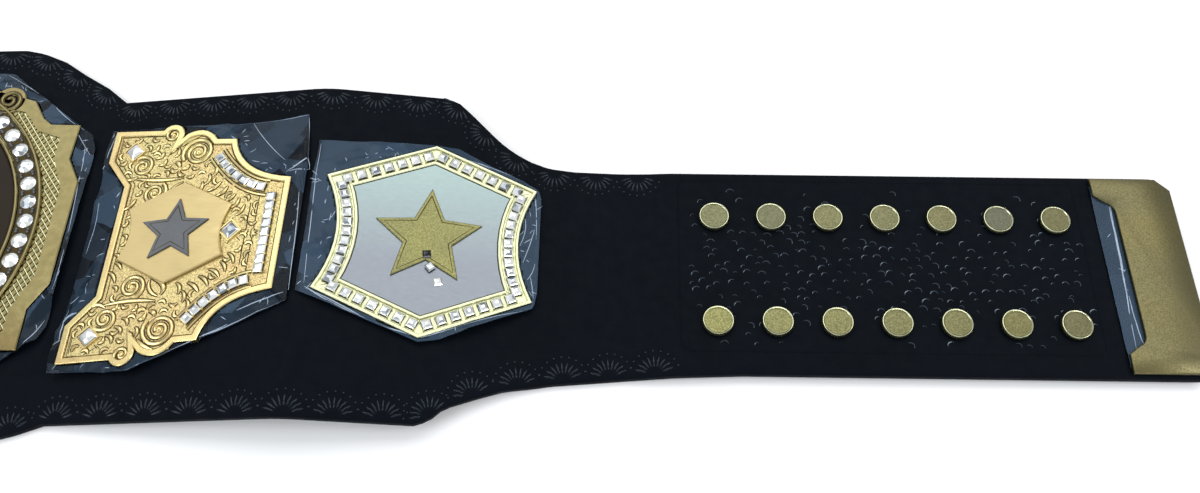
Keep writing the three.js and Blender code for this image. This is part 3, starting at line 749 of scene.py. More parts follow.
def rubbed(tree, pattern, low, high, depth):
    """The roughness and the relief of a skin that both follow one pattern."""
    reach = {"From Min": NOISE_START, "From Max": NOISE_END, "To Min": low, "To Max": high}
    bump = {"Height": pattern, "Distance": depth, "Strength": 1}
    return {
        "Roughness": add_node(tree, "MapRange", {"Value": pattern, **reach}).outputs["Result"],
        "Normal": add_node(tree, "Bump", bump).outputs["Normal"],
    }


def dyed_cowhide(tree, colours):
    # Chrome-tanned cowhide, dyed through and pressed: near black with a bluish cast, and a fine pebbled
    # grain that takes only a faint sheen.
    pebbles = cells(tree, 1.1 * MM, feature="SMOOTH_F1").outputs["Distance"]
    relief = {
        "Height": pebbles, "Distance": 0.09 * MM, "Strength": 1, "Normal": pitted(tree, 0.4 * MM, 0.02 * MM),
    }
    shade(
        tree,
        Base_Color=patches(tree, 45 * MM, times(0.7, colours.leather), colours.leather, 3),
        Roughness=uneven(tree, 6 * MM, 0.46, 0.62),
        Specular_IOR_Level=0.04,
        Normal=add_node(tree, "Bump", relief).outputs["Normal"],
    )


def burnished_cowhide(tree, colours):
    # The same hide where a hot stamp has pressed and burnished it: smooth ridges that catch small glints, in
    # patches up to a third lighter than the hide, a painted sheen.
    shade(
        tree,
        Base_Color=patches(tree, 20 * MM, colours.leather, times(1.3, colours.leather)),
        Roughness=uneven(tree, 2 * MM, 0.16, 0.3),
        Specular_IOR_Level=0.3,
        Specular_Tint=(0.72, 0.86, 1, 1),
        Normal=pitted(tree, 0.5 * MM, 0.02 * MM),
    )


def polished_cowhide(tree, colours):
    # The same hide on the tight arcs of the strap: handled until they shine, with small bluish glints, and a
    # colour two and a half times lighter than the hide, a painted glint.
    shade(
        tree,
        Base_Color=opaque(times(2.5, colours.leather)),
        Roughness=uneven(tree, 2 * MM, 0.05, 0.2),
        Specular_IOR_Level=1,
        Specular_Tint=(0.7, 0.86, 1, 1),
    )


def cast_metal(tree, base_colour, roughness, pit):
    """Plated zinc casting: a softly pitted skin with a varying polish."""
    pits = pitted(tree, pit, 0.035 * MM, 3)
    shade(
        tree,
        Base_Color=base_colour,
        Metallic=1,
        Roughness=uneven(tree, 4 * MM, roughness - 0.07, roughness + 0.08),
        Normal=pitted(tree, 7 * MM, 0.12 * MM, 1, Normal=pits),
    )


def bright_gold_casting(tree, colours):
    # Bright yellow gold plating over cast zinc: strong even reflections, with warmer patches that are a
    # painted reflection.
    cast_metal(tree, patches(tree, 38 * MM, colours.bright_gold, colours.warm_reflection_gold), 0.3, 0.55 * MM)


def punched_gold_ground(tree, colours):
    # The punched ground between raised ornament: the same plating with the same patches of painted
    # reflection, duller, with dark wax in its dots.
    dots = grain(tree, 0.8 * MM)
    body = patches(tree, 30 * MM, colours.bright_gold, colours.warm_reflection_gold)
    shade(
        tree,
        Base_Color=fading(tree, dots, body, opaque(colours.wax_and_painted_shade), 0.45, 0.65, (0, 0.5)),
        Metallic=1,
        **rubbed(tree, dots, 0.36, 0.6, 0.05 * MM),
    )


def antiqued_gold_casting(tree, colours):
    # Antiqued gold plating over cast zinc: the same casting with a duller skin, darker and browner towards
    # the foot, a painted reflection.
    red, green, blue = colours.main_gold
    upper, foot = (0.8 * red, 0.74 * green, 0.66 * blue), (0.55 * red, 0.36 * green, 0.26 * blue)
    height = place_along(tree, "Y")
    reflection_drift = fading(tree, height, opaque(upper), opaque(foot), -78 * MM, -38 * MM, (1, 0))
    links = {"Factor": grain(tree, 34 * MM), 6: opaque(colours.main_gold), 7: reflection_drift}
    body = add_node(tree, "Mix", links, data_type="RGBA").outputs[2]
    cast_metal(tree, body, 0.3, 0.6 * MM)


def pale_gold_casting(tree, colours):
    # Pale gold plating, softly blasted: light and almost silky.
    body = patches(tree, 25 * MM, colours.pale_gold, times(0.85, colours.pale_gold))
    cast_metal(tree, body, 0.38, 0.5 * MM)


def copper_gold_sheet(tree, colours):
    # Copper-rich gold plating on a smooth sheet: orange, satin, with long faint wiping marks.
    wiped = grain(tree, 1.2 * MM, stretch=(0.12, 1, 1))
    shade(
        tree,
        Base_Color=patches(tree, 26 * MM, colours.shield, times(0.72, colours.shield)),
        Metallic=1,
        **rubbed(tree, wiped, 0.36, 0.5, 0.015 * MM),
    )


def patina_and_painted_shade(tree, colours):
    # Dark wax and oxide left in the lines of a casting, and painted shade round raised strokes and under
    # stones: brown-black and dull.
    shade(
        tree,
        Base_Color=patches(tree, 3 * MM, colours.wax_and_painted_shade, times(1.9, colours.wax_and_painted_shade)),
        Roughness=uneven(tree, 1.5 * MM, 0.5, 0.7),
        Specular_IOR_Level=0.2,
    )


def brushed_nickel_sheet(tree, colours):
    # Nickel-plated sheet, brushed along the belt: grey, with a soft stretched highlight, and a painted
    # highlight that makes it greener and lighter towards the upper edge.
    brushed = grain(tree, 0.5 * MM, 3, (0.04, 1, 1))
    red, green, blue = colours.silver
    sheen = opaque((1.35 * red, 1.62 * green, 1.4 * blue))
    height = place_along(tree, "Y")
    shade(
        tree,
        Base_Color=fading(tree, height, opaque(colours.silver), sheen, -18 * MM, 42 * MM),
        Metallic=1,
        **rubbed(tree, brushed, 0.3, 0.42, 0.01 * MM),
    )


def blasted_nickel(tree, colours):
    # Blasted nickel of the shields' stars and the grains that hold the round stones: a flat warm grey.
    shade(
        tree,
        Base_Color=patches(tree, 9 * MM, colours.mark, times(0.8, colours.mark)),
        Metallic=0.9,
        Roughness=uneven(tree, 0.8 * MM, 0.5, 0.64),
        Normal=pitted(tree, 0.5 * MM, 0.02 * MM),
    )


def poured_enamel(tree, colours):
    # Poured brown enamel: very dark, with an even gloss and a faint cloudiness.
    shade(
        tree,
        Base_Color=patches(tree, 24 * MM, colours.enamel, times(1.5, colours.enamel)),
        Roughness=uneven(tree, 9 * MM, 0.14, 0.24),
        Specular_IOR_Level=0.1,
    )


def foiled_glass_stone(tree, colours):
    # Foiled glass stones: each facet has its own tone between dark and light, a painted reflection.
    tone = add_node(tree, "Attribute", attribute_name="tone").outputs["Fac"]
    dark, light = opaque(colours.stone_dark), opaque(colours.stone_light)
    shade(tree, Base_Color=fading(tree, tone, dark, light, 0.05, 0.6), Metallic=0.7, Roughness=0.12)


def black_glass_stone(tree, colours):
    # Black glass: near black, sharp reflections.
    shade(tree, Base_Color=opaque(colours.leather), Roughness=0.05)


def brass_skin(tree, colours, tint, near, far):
    """Blasted brass, yellow to nickel grey by a tint. near and far are the shares of the brass's red, green
    and blue at the inner and outer ends of the strap."""
    inner_end, outer_end = 350 * MM, 620 * MM
    grit = grain(tree, 0.7 * MM)
    tones = [opaque(share * c for share, c in zip(shares, colours.brass)) for shares in (near, far)]
    brass = fading(tree, from_middle(tree), *tones, inner_end, outer_end)
    links = {"Factor": tint, 6: brass, 7: opaque(colours.nickel)}
    body = add_node(tree, "Mix", links, data_type="RGBA").outputs[2]
    shade(
        tree,
        Base_Color=fading(tree, grit, body, opaque(times(0.35, colours.brass)), shares=(0, 0.6)),
        Metallic=1,
        **rubbed(tree, grit, 0.3, 0.46, 0.03 * MM),
    )


def stamped_brass(tree, colours):
    # Press studs from mixed plating baths: some yellow, some grey, all with a fine grit.
    tint = add_node(tree, "Attribute", attribute_name="tint").outputs["Fac"]
    brass_skin(tree, colours, tint, (1.5, 1.54, 1.35), (0.56, 0.53, 0.62))


def brass_lip_highlight(tree, colours):
    # The lip of a stud's cap, paler and glossier than the rest: a painted highlight along its rim.
    body = patches(tree, 2 * MM, colours.pale_gold, times(0.6, colours.pale_gold))
    shade(tree, Base_Color=body, Metallic=1, Roughness=0.2)


def blasted_brass_sheet(tree, colours):
    # Sheet brass of the tip plates and the outer stars, blasted and lacquered: an even speckle.
    brass_skin(tree, colours, uneven(tree, 30 * MM, 0, 0.35), (1.18, 1.2, 1.12), (0.8, 0.72, 0.78))


def polythene_film(tree, colours):
    # Clear polythene wrapping film: it lays a grey veil over the hide, pale round the outer plates and dark
    # in places nearer the middle, and its facets are lighter and darker cell by cell, a painted reflection.
    outer = belt().outer.start - 8 * MM
    dark, pale = opaque(times(0.12, colours.film)), opaque(times(0.8, colours.film))
    shadow = fading(tree, from_middle(tree), dark, pale, outer, outer + 4 * MM)
    reflection_cells = cells(tree, 17 * MM).outputs["Color"]
    shade(
        tree,
        Base_Color=fading(tree, reflection_cells, shadow, opaque(colours.film), 0.3, 0.9),
        Roughness=0.16,
        Specular_IOR_Level=0.12,
        Alpha=0.8,
    )


def crease_glint_polythene(tree, colours):
    # The same film where it is folded sharply, painted pale as a glint along the fold, so that it reads as a
    # thin bright line.
    shade(tree, Base_Color=opaque(colours.crease_glint), Roughness=0.25, Alpha=0.5)


def painted_floor(tree, colours):
    # Painted studio floor: pale and matt.
    shade(tree, Base_Color=opaque(colours.floor), Roughness=0.9)


def material(finish):
    """The material of a finish, which has its name and is made when it is first asked for."""
    made = bpy.data.materials.get(finish.__name__)
    if made is None:
        made = bpy.data.materials.new(finish.__name__)
        made.use_nodes = True
        made.node_tree.nodes.clear()
        finish(made.node_tree, belt().colours)
    return made


# Leather and its stamps

LEATHER_COLUMNS = 340
LEATHER_ROWS = 26


def flat_sheet(columns, rows, start, end, upper, lower, height):
    """A grid between two edges, each a function of the length, at a height that may vary."""
    piece = primitive(bpy.ops.mesh.primitive_grid_add, x_subdivisions=columns, y_subdivisions=rows, size=2)
    for vertex in piece.data.vertices:
        along = start + (end - start) * (vertex.co.x + 1) / 2
        low = lower(along)
        y = low + (upper(along) - low) * (vertex.co.y + 1) / 2
        vertex.co = (along, y, height(along, y))
    return piece


def thickened(piece, thickness):
    """Gives a sheet its wall, under its upper face."""
    pick(piece)
    wall = piece.modifiers.new("wall", "SOLIDIFY")
    wall.thickness = thickness
    wall.offset = -1
    bpy.ops.object.modifier_apply(modifier=wall.name)
    return piece


def leather_body():
    s = belt().leather
    top, bottom = edge_rows(True), edge_rows(False)
    sheet = flat_sheet(
        LEATHER_COLUMNS,
        LEATHER_ROWS,
        -s.half_length,
        s.half_length,
        lambda along: across(top, abs(along)),
        lambda along: across(bottom, abs(along)),
        lambda along, y: s.thickness,
    )
    thickened(sheet, s.thickness)
    softened(sheet, s.rounding, segments=3, limit=50)
    coated(laid(sheet), dyed_cowhide)
    finished(sheet, "leather_body", "black_leather", "leather_strap", smooth=40)


# A fan has this many petals, up to this many degrees on each side of its middle, each with a bead outside
PETALS = 9
FAN_SPREAD = 72

# Shares of a fan's radius
PETAL_MIDDLE = 0.56
PETAL_REACH = 0.24


def fan():
    """Places of one fan's stamps, with its foot at the origin."""
    s = belt().leather
    half_width, bead_radius = 0.55 * MM, 0.6 * MM
    petal = Matrix.Diagonal((PETAL_REACH * s.fan_radius, half_width, s.stamp_rise, 1))
    small_bead = Matrix.Diagonal((bead_radius, bead_radius, s.stamp_rise, 1))
    places = []
    for i in range(PETALS):
        turn = Matrix.Rotation(math.radians(90 + FAN_SPREAD * (2 * i / (PETALS - 1) - 1)), 4, "Z")
        places.append(turn @ Matrix.Translation((PETAL_MIDDLE * s.fan_radius, 0, 0)) @ petal)
        places.append(turn @ (Matrix.Translation((s.fan_radius, 0, 0)) @ small_bead))
    return places


def edge_line(upper, start, end, margin):
    """Points along the leather's edge, a margin inside it."""
    rows = edge_rows(upper)
    s = belt().leather
    inward = -1 if upper else 1
    steps = 160
    return [
        (at, across(rows, at) + inward * margin)
        for at in (start + (end - start) * i / steps for i in range(steps + 1))
    ]


def leather_fans():
    """The stamped fans along both edges, without the stamps that would reach past the leather."""
    s = belt().leather
    margin = 1.6 * MM
    room = 0.8 * MM
    top, bottom = edge_rows(True), edge_rows(False)
    stamps = fan()
    places = []
    for upper in (True, False):
        line = edge_line(upper, 0, s.panel_start - s.fan_radius, margin)
        for x, y, turn in run_along(line, s.fan_pitch, 0):
            inward = turn + (math.pi if upper else 0)
            for side in SIDES.values():
                foot = Matrix.Diagonal((side, 1, 1, 1)) @ standing(x, y, s.thickness, inward)
                for stamp in stamps:
                    place = foot @ stamp
                    along, height = abs(place.translation.x), place.translation.y
                    if across(bottom, along) + room < height < across(top, along) - room:
                        places.append(place)
    stamp = primitive(bpy.ops.mesh.primitive_uv_sphere_add, segments=8, ring_count=4, radius=1)
    fans = coated(laid(copies(stamp, places)), burnished_cowhide)
    finished(fans, "leather_fans", "black_leather")


def panel_border(start, end, top, bottom):
    """The strap panel's thin border line with its rounded corners, in millimetres."""
    corner, steps, stretch, half_width = 5, 5, 4, 0.35
    left, right, low, high = start + corner, end - corner, bottom + corner, top - corner
    loop = []
    for middle, first in (((right, high), 90), ((right, low), 0), ((left, low), -90), ((left, high), 180)):
        loop += arc(middle, corner, first, first - 90, steps)
    loop.append(loop[0])
    line = []
    for (x0, y0), (x1, y1) in zip(loop, loop[1:]):
        number = max(1, round(math.dist((x0, y0), (x1, y1)) / stretch))
        for i in range(number):
            line.append((x0 + (x1 - x0) * i / number, y0 + (y1 - y0) * i / number, half_width))
    return [*line, line[0]]


def scale_bow(width):
    """One stamped scale: a short arc that is thickest in the middle, in millimetres."""
    thin, swell, steps = 0.16, 0.26, 8
    points = arc((0, 0), width / 2, 18, 162, steps)
    return [(x, y, thin + swell * math.sin(math.pi * i / steps)) for i, (x, y) in enumerate(points)]


# The strap panel's scales: the distance between rows as a share of the pitch, how far a scale strays along
# and across the strap in millimetres, how far it turns in radians, and the smallest one's share of the size
ROW_SHARE = 0.72
STRAY_ALONG = 1.6
STRAY_ACROSS = 1.3
SCALE_TURN = 0.8
SMALLEST_SCALE = 0.4

# How likely a scale is in the densest row, that row's height over the panel's middle, and the distance over
# which the likelihood falls by 1, in millimetres
LIKELY = 0.8
DENSEST_ROW = -4
LIKELY_FALL = 60


def leather_panel():
    """The stamped strap panels: a thin border line and rows of small scales."""
    s = belt().leather
    start, end, top, bottom = (v / MM for v in (s.panel_start, s.panel_end, s.panel_top, s.panel_bottom))
    border = coated(drawn([panel_border(start, end, top, bottom)], 0.6), dyed_cowhide)
    bow = scale_bow(s.scale_width / MM)
    thickest = max(half_width for _, _, half_width in bow)
    scale = drawn([bow], s.stamp_rise / (thickest * MM))
    draw = random.Random(7)
    pitch = s.scale_pitch / MM
    middle = (top + bottom) / 2 + DENSEST_ROW
    places = []
    for row in range(1, int((top - bottom) / (ROW_SHARE * pitch))):
        for column in range(1, int((end - start) / pitch)):
            stray = draw.uniform(-STRAY_ALONG, STRAY_ALONG)
            x = start + (column + (row % 2) / 2) * pitch + stray
            y = bottom + row * ROW_SHARE * pitch + draw.uniform(-STRAY_ACROSS, STRAY_ACROSS)
            turn = draw.uniform(-SCALE_TURN, SCALE_TURN)
            size = draw.uniform(SMALLEST_SCALE, 1)
            if draw.random() < LIKELY - abs(y - middle) / LIKELY_FALL:
                places.append(standing(x * MM, y * MM, 0, turn, size))
    scales = coated(copies(scale, places), polished_cowhide)
    panel = laid(lifted(joined(scales, border), s.thickness))
    both_sides(panel, "leather_panel", "black_leather")


# Cut stones


def sliced(piece, point, normal):
    """Saws off what lies outside a plane and closes the cut."""
    edit(piece)
    bpy.ops.mesh.bisect(plane_co=point, plane_no=normal, use_fill=True, clear_outer=True)
    leave_edit()


def facets(piece, number, slope, radius, height, turn=0):
    """Cuts a round of facets, each through a point at a radius and height, at a slope in degrees."""
    tilt = math.radians(slope)
    for i in range(number):
        at = turn + 2 * math.pi * i / number
        out = Vector((math.cos(at), math.sin(at), 0))
        normal = out * math.sin(tilt) + Vector((0, 0, math.cos(tilt)))
        sliced(piece, out * radius + Vector((0, 0, height)), normal)


# Rounds of facets of the two cuts: number, slope in degrees, share of the radius or side, height in
# millimetres or as a share, and share of a half turn
ROUND_CUTS = ((16, 40, 0.98, 0.3, 1 / 16), (8, 27, 0.9, 0.52, 0), (8, 15, 0.66, 1.18, 1 / 8))
SQUARE_CUTS = ((4, 48, 0.5, 0.25, 0), (4, 25, 0.4, 0.62, 0), (4, 38, 0.56, 0.5, 1 / 4))


def round_stone():
    """A brilliant cut: a girdle of sixteen sides, sixteen break facets, eight kites, eight star facets
    and the table."""
    s = belt().stones
    radius = s.round_size / 2
    at = (0, 0, s.rise / 2)
    stone = primitive(
        bpy.ops.mesh.primitive_cylinder_add, vertices=16, radius=radius, depth=s.rise, location=at
    )
    bpy.ops.object.transform_apply()
    for number, slope, share, height, turn in ROUND_CUTS:
        facets(stone, number, slope, radius * share, height * MM, turn * math.pi)
    return stone


def block(wide, tall, high):
    return moved(primitive(bpy.ops.mesh.primitive_cube_add, size=1), Matrix.Diagonal((wide, tall, high, 1)))


def square_stone(size, rise):
    """A square cut: two steps of facets on each side, a facet on each corner and the table."""
    stone = lifted(block(size, size, rise), rise / 2)
    for number, slope, share, height, turn in SQUARE_CUTS:
        facets(stone, number, slope, share * size, height * rise, turn * math.pi)
    return stone


def stone_set(stone, places, seed, *finishes):
    """A stone copied to its places, each facet with its own tone of painted reflection."""
    facets_each = len(stone.data.polygons)
    return coated(toned(copies(stone, places), facets_each, seed), foiled_glass_stone, *finishes)


def bead(radius, height):
    """A small round grain of metal that holds a stone."""
    ball = primitive(bpy.ops.mesh.primitive_ico_sphere_add, subdivisions=2, radius=1)
    return moved(ball, Matrix.Diagonal((radius, radius, height, 1)))


def square_string(rows, low, seed, finish):
    """Square stones at (x, y, direction) rows, each on a dark seat whose rim is painted shade, with two
    grains between neighbours.
    """
    s = belt().stones
    seat_rim, seat_thickness, grain_rise = 0.3 * MM, 0.3 * MM, 0.35 * MM
    places = [standing(x, y, low, turn) for x, y, turn in rows]
    stones = stone_set(square_stone(s.square_size, s.rise), places, seed)
    side = s.square_size + seat_rim
    # Each dark seat is a little wider than its stone, so its rim paints the shade round the stone.
    shade_seats = coated(copies(block(side, side, seat_thickness), places), patina_and_painted_shade)
    grains = []
    reach = s.square_size / 2
    for x, y, turn in rows:
        for a, b in CORNERS:
            offset = Matrix.Rotation(turn, 3, "Z") @ Vector((a * reach, b * reach, 0))
            grains.append(standing(x + offset.x, y + offset.y, low + grain_rise))
    claws = coated(copies(bead(0.5 * MM, 0.75 * MM), grains), finish)
    return joined(stones, shade_seats, claws)


# Main plate

# Corners of a quarter of the plate and of its field, and the middle of a curl, as shares of half its width
# and height
MAIN_CORNER = ((0.685, 0.78), (0.75, 0.671), (0.795, 0.634), (0.935, 0.632), (0.93, 0.422), (1, 0.287))
FIELD_CORNER = ((0.655, 0.712), (0.745, 0.593), (0.86, 0.553), (0.862, 0.42), (0.93, 0.25))
CURL_PLACE = (0.556, 0.782)


def fourfold(quarter):
    """A closed outline from one quarter, mirrored both ways."""
    right = [*quarter, *((x, -y) for x, y in reversed(quarter))]
    return [*right, *((-x, y) for x, y in reversed(right))]


def main_outlines():
    s = belt().main
    half = s.width / 2
    crest = arc((0, 0), s.half_height, 87, 57, 5)
    well = arc((0, 0), s.rim_outer + s.rim_width / 2, 87, 50, 6)
    outline = fourfold([*crest, *((x * half, y * s.half_height) for x, y in MAIN_CORNER)])
    field = fourfold([*well, *((x * half, y * s.half_height) for x, y in FIELD_CORNER)])
    return outline, field


def inside(points, x, y):
    """Whether a point lies inside a closed outline."""
    hit = False
    for (x0, y0), (x1, y1) in zip(points, points[1:] + points[:1]):
        if (y0 > y) != (y1 > y) and x < x0 + (x1 - x0) * (y - y0) / (y1 - y0):
            hit = not hit
    return hit


def lozenges(field):
    """Raised flat lozenges over the field between the border and the stones' rim, with grooves between."""
    s = belt().main
    foot, crown, under_rim, slimness = 0.43, 0.33, 0.3, 1.32
    wide, tall = s.lozenge, slimness * s.lozenge
    cone = primitive(bpy.ops.mesh.primitive_cone_add, vertices=4, radius1=foot, radius2=crown, depth=1)
    moved(cone, Matrix.Diagonal((wide, tall, s.lozenge_rise, 1)) @ Matrix.Translation((0, 0, 0.5)))
    columns = int(s.width / wide) + 1
    rows = int(2 * s.half_height / tall) + 1
    places = []
    for column in range(-columns, columns + 1):
        for row in range(-rows, rows + 1):
            x, y = column * wide / 2, row * tall / 2
            outside_rim = math.hypot(x, y) > s.rim_outer - under_rim * wide
            if (row + column) % 2 == 0 and outside_rim and inside(field, x, y):
                places.append(standing(x, y, s.floor))
    return copies(cone, places)


def spiral(centre, reach, turns, start, hand, width, core=0.2):
    """A scroll as (x, y, half width) rows in millimetres, from its outer end to its eye."""
    steps_a_turn, taper = 18, 0.35
    steps = int(turns * steps_a_turn)
    rows = []
    for i in range(steps + 1):
        share = i / steps
        at = math.radians(start) + hand * 2 * math.pi * turns * share
        radius = reach * (1 - (1 - core) * share)
        x, y = centre[0] + radius * math.cos(at), centre[1] + radius * math.sin(at)
        rows.append((x, y, width * (1 - taper * share) / 2))
    return rows


def ring_profile(inner, outer, low, high):
    """A rim with a rounded crown."""
    shoulder = 0.45 * (outer - inner)
    crown = high - 0.35 * (outer - inner)
    near_top = high - 0.1 * shoulder
    return [
        (inner, low), (outer, low), (outer, crown), (outer - shoulder / 2, near_top),
        ((inner + outer) / 2, high), (inner + shoulder / 2, near_top), (inner, crown),
    ]


def coat_floor(piece, height):
    """Gives the faces of a casting's floor, which lie at a height and face up, its second material."""
    for face in piece.data.polygons:
        if abs(face.center.z - height) < 0.01 * MM and face.normal.z > 0.9:
            face.material_index = 1


def corner_curl(place_of):
    """A corner curl: a low disc and a scroll on it with a dark line beside it, a painted shadow, at a place
    on the floor.
    """
    s = belt().main
    top, bevel = s.floor + s.border_rise, PLATE_BEVEL
    radius = s.curl_radius
    profile = [(0, s.floor), (radius, s.floor), (radius, top - bevel), (radius - bevel, top), (0, top)]
    disc = turned(profile, CURL_STEPS)
    parts = [coated(moved(disc, Matrix.Translation(place_of.translation)), antiqued_gold_casting)]
    reach = 0.82 * radius / MM
    rows = spiral((0, 0), reach, turns=1.9, start=200, hand=1, width=1.9, core=0.12)
    # The second, wider and flatter copy of the scroll is its painted shadow.
    for flat, extra, finish in ((0.8, 0, antiqued_gold_casting), (0.06, 0.45, patina_and_painted_shade)):
        line = drawn([[(a, b, c + extra) for a, b, c in rows]], flat)
        parts.append(coated(moved(line, Matrix.Translation((0, 0, top)) @ place_of), finish))
    return parts


RIM_STEPS = 160
CURL_STEPS = 40
PLATE_BEVEL = 0.45 * MM


def main_plate():
    s = belt().main
    outline, field = main_outlines()
    top, bevel = s.floor + s.border_rise, PLATE_BEVEL
    groove_width, groove_rise = 0.5 * MM, 0.15 * MM
    base = lofted([
        at_height(outline, 0),
        at_height(outline, top - bevel),
        at_height(inset(outline, bevel), top),
        at_height(inset(field, -bevel), top),
        at_height(field, top - bevel),
        at_height(field, s.floor),
    ])
    # The floor between the lozenges takes the pale gold: a painted highlight that shows as bright lines round
    # the darker lozenges.
    coated(base, antiqued_gold_casting, pale_gold_casting)
    coat_floor(base, s.floor)
    parts = [base, coated(lozenges(field), antiqued_gold_casting)]
    for inner in (s.channel_inner - s.rim_width, s.channel_outer):
        profile = ring_profile(inner, inner + s.rim_width, s.floor, s.floor + s.rim_rise)
        parts.append(coated(turned(profile, RIM_STEPS, ring=True), antiqued_gold_casting))
    groove = ring_profile(s.rim_outer, s.rim_outer + groove_width, s.floor, s.floor + groove_rise)
    parts.append(coated(turned(groove, RIM_STEPS, ring=True), patina_and_painted_shade))
    across_share, up_share = CURL_PLACE
    for sx in (1, -1):
        for sy in (1, -1):
            x, y = sx * across_share * s.width / 2, sy * up_share * s.half_height
            parts += corner_curl(Matrix.Translation((x, y, 0)) @ Matrix.Diagonal((sx, sy, 1, 1)))
    plate = moved(joined(*parts), seat(0, 0))
    finished(plate, "main_plate_casting", "cast_gold", "main_plate")


def main_stones():
    """The ring of brilliants in its dark channel, each held by four silver grains."""
    s, plate = belt().stones, belt().main
    low = plate.floor + belt().film.clearance
    seat_top = low + s.setting
    room = 0.2 * MM
    inner, outer = plate.channel_inner + room, plate.channel_outer - room
    channel = turned([(inner, low), (outer, low), (outer, seat_top), (inner, seat_top)], RIM_STEPS, ring=True)
    coated(channel, patina_and_painted_shade)
    radius = (plate.channel_inner + plate.channel_outer) / 2
    grain_reach, grain_lean, grain_rise = 0.36, 0.085, 0.3 * MM
    places, grains = [], []
    for i in range(s.round_count):
        at = 2 * math.pi * (i + 0.5) / s.round_count
        places.append(standing(radius * math.cos(at), radius * math.sin(at), seat_top, at))
        between_stones = at + math.pi / s.round_count
        for out, aside in CORNERS:
            r = radius + out * grain_reach * s.round_size
            a = between_stones + aside * grain_lean * s.round_size / radius
            grains.append(standing(r * math.cos(a), r * math.sin(a), seat_top + grain_rise))
    stones = stone_set(round_stone(), places, seed=11)
    claws = coated(copies(bead(0.75 * MM, 0.9 * MM), grains), blasted_nickel)
    ring = moved(joined(stones, channel, claws), seat(0, 0))
    finished(ring, "main_ring_stones", "cut_stone", "main_stone_ring", smooth=12)


def main_disc():
    """The dark disc, a little domed and with a softened edge."""
    s = belt().main
    low = s.floor + belt().film.clearance
    radius = s.channel_inner - s.rim_width - belt().film.clearance
    rise = 1.2 * MM
    profile = [
        (0, low), (radius, low), (radius, low + 0.4 * rise), (radius - 0.5 * rise, low + 0.8 * rise),
        (radius - 1.3 * rise, low + rise), (0.6 * radius, low + 1.1 * rise), (0, low + 1.15 * rise),
    ]
    disc = coated(moved(turned(profile, RIM_STEPS), seat(0, 0)), poured_enamel)
    finished(disc, "main_disc_enamel", "dark_enamel", "main_disc", smooth=40)


# Inner plates: u is a share of the plate's length from its inner end, and v of half its height from its axis

# Where along the plate the shield's middle and the column of stones lie, and how far the column reaches
SHIELD_MIDDLE = 0.453
STONE_COLUMN = 0.915
COLUMN_REACH = 0.345


def inner_point(u, v):
    """The point at these shares, counted from the plate's middle."""
    s = belt().inner
    return ((u - 0.5) * s.width, v * s.height / 2)


def inner_seat():
    s = belt().inner
    return seat(s.start + s.width / 2, s.axis)


def inner_outline():
    s = belt().inner
    curl = inner_point(0.318, 0.905)
    upper = [
        inner_point(0.12, 0.455),
        inner_point(0, 0.68),
        inner_point(0, 0.97),
        *arc(curl, 0.0475 * s.height, 150, -30, 9),
        *bend(inner_point(0.4, 0.905), inner_point(0.5, 0.985), inner_point(0.57, 0.84), 7),
        *bend(inner_point(0.675, 0.83), inner_point(0.72, 0.51), inner_point(1, 0.458), 10),
    ]
    return [*upper, *((x, -y) for x, y in reversed(upper))]


def stone_corner(offset=0):
    """The line of stones at the upper hollow corner, or a line beside it at an offset in metres."""
    line = bend(inner_point(0.585, 0.707), inner_point(0.73, 0.406), inner_point(0.89, 0.375), 16)
    if not offset:
        return line
    rows = []
    for i, (x, y) in enumerate(line):
        before, after = Vector(line[max(0, i - 1)]), Vector(line[min(len(line) - 1, i + 1)])
        along = (after - before).normalized()
        rows.append((x - along.y * offset, y + along.x * offset))
    return rows


def sweep(start, middle, end, width, steps=10):
    """A leaf-shaped stroke along a bent line, in millimetres: thin at both ends."""
    thin, fullness = 0.12, 0.8
    rows = []
    for i, (x, y) in enumerate(bend(start, middle, end, steps)):
        rows.append((x, y, thin + width / 2 * math.sin(math.pi * i / steps) ** fullness))
    return rows


def even(points, width):
    return [(x, y, width / 2) for x, y in points]


def in_mm(points):
    return [(x / MM, y / MM) for x, y in points]


# Scrolls of one half of the inner plate, in millimetres from its middle and outwards from its axis:
# centre, reach, turns, where the tail leaves in degrees, hand and width
INNER_SCROLLS = (
    ((-21, 26), 6.4, 1.75, 55, -1, 1.9),
    ((-31, 42.3), 5.9, 1.6, 130, -1, 1.9),
    ((-2.2, 48.8), 8.4, 2.2, 215, -1, 2.1),
    ((-18.1, 60.6), 4.4, 1.5, 30, 1, 1.7),
)

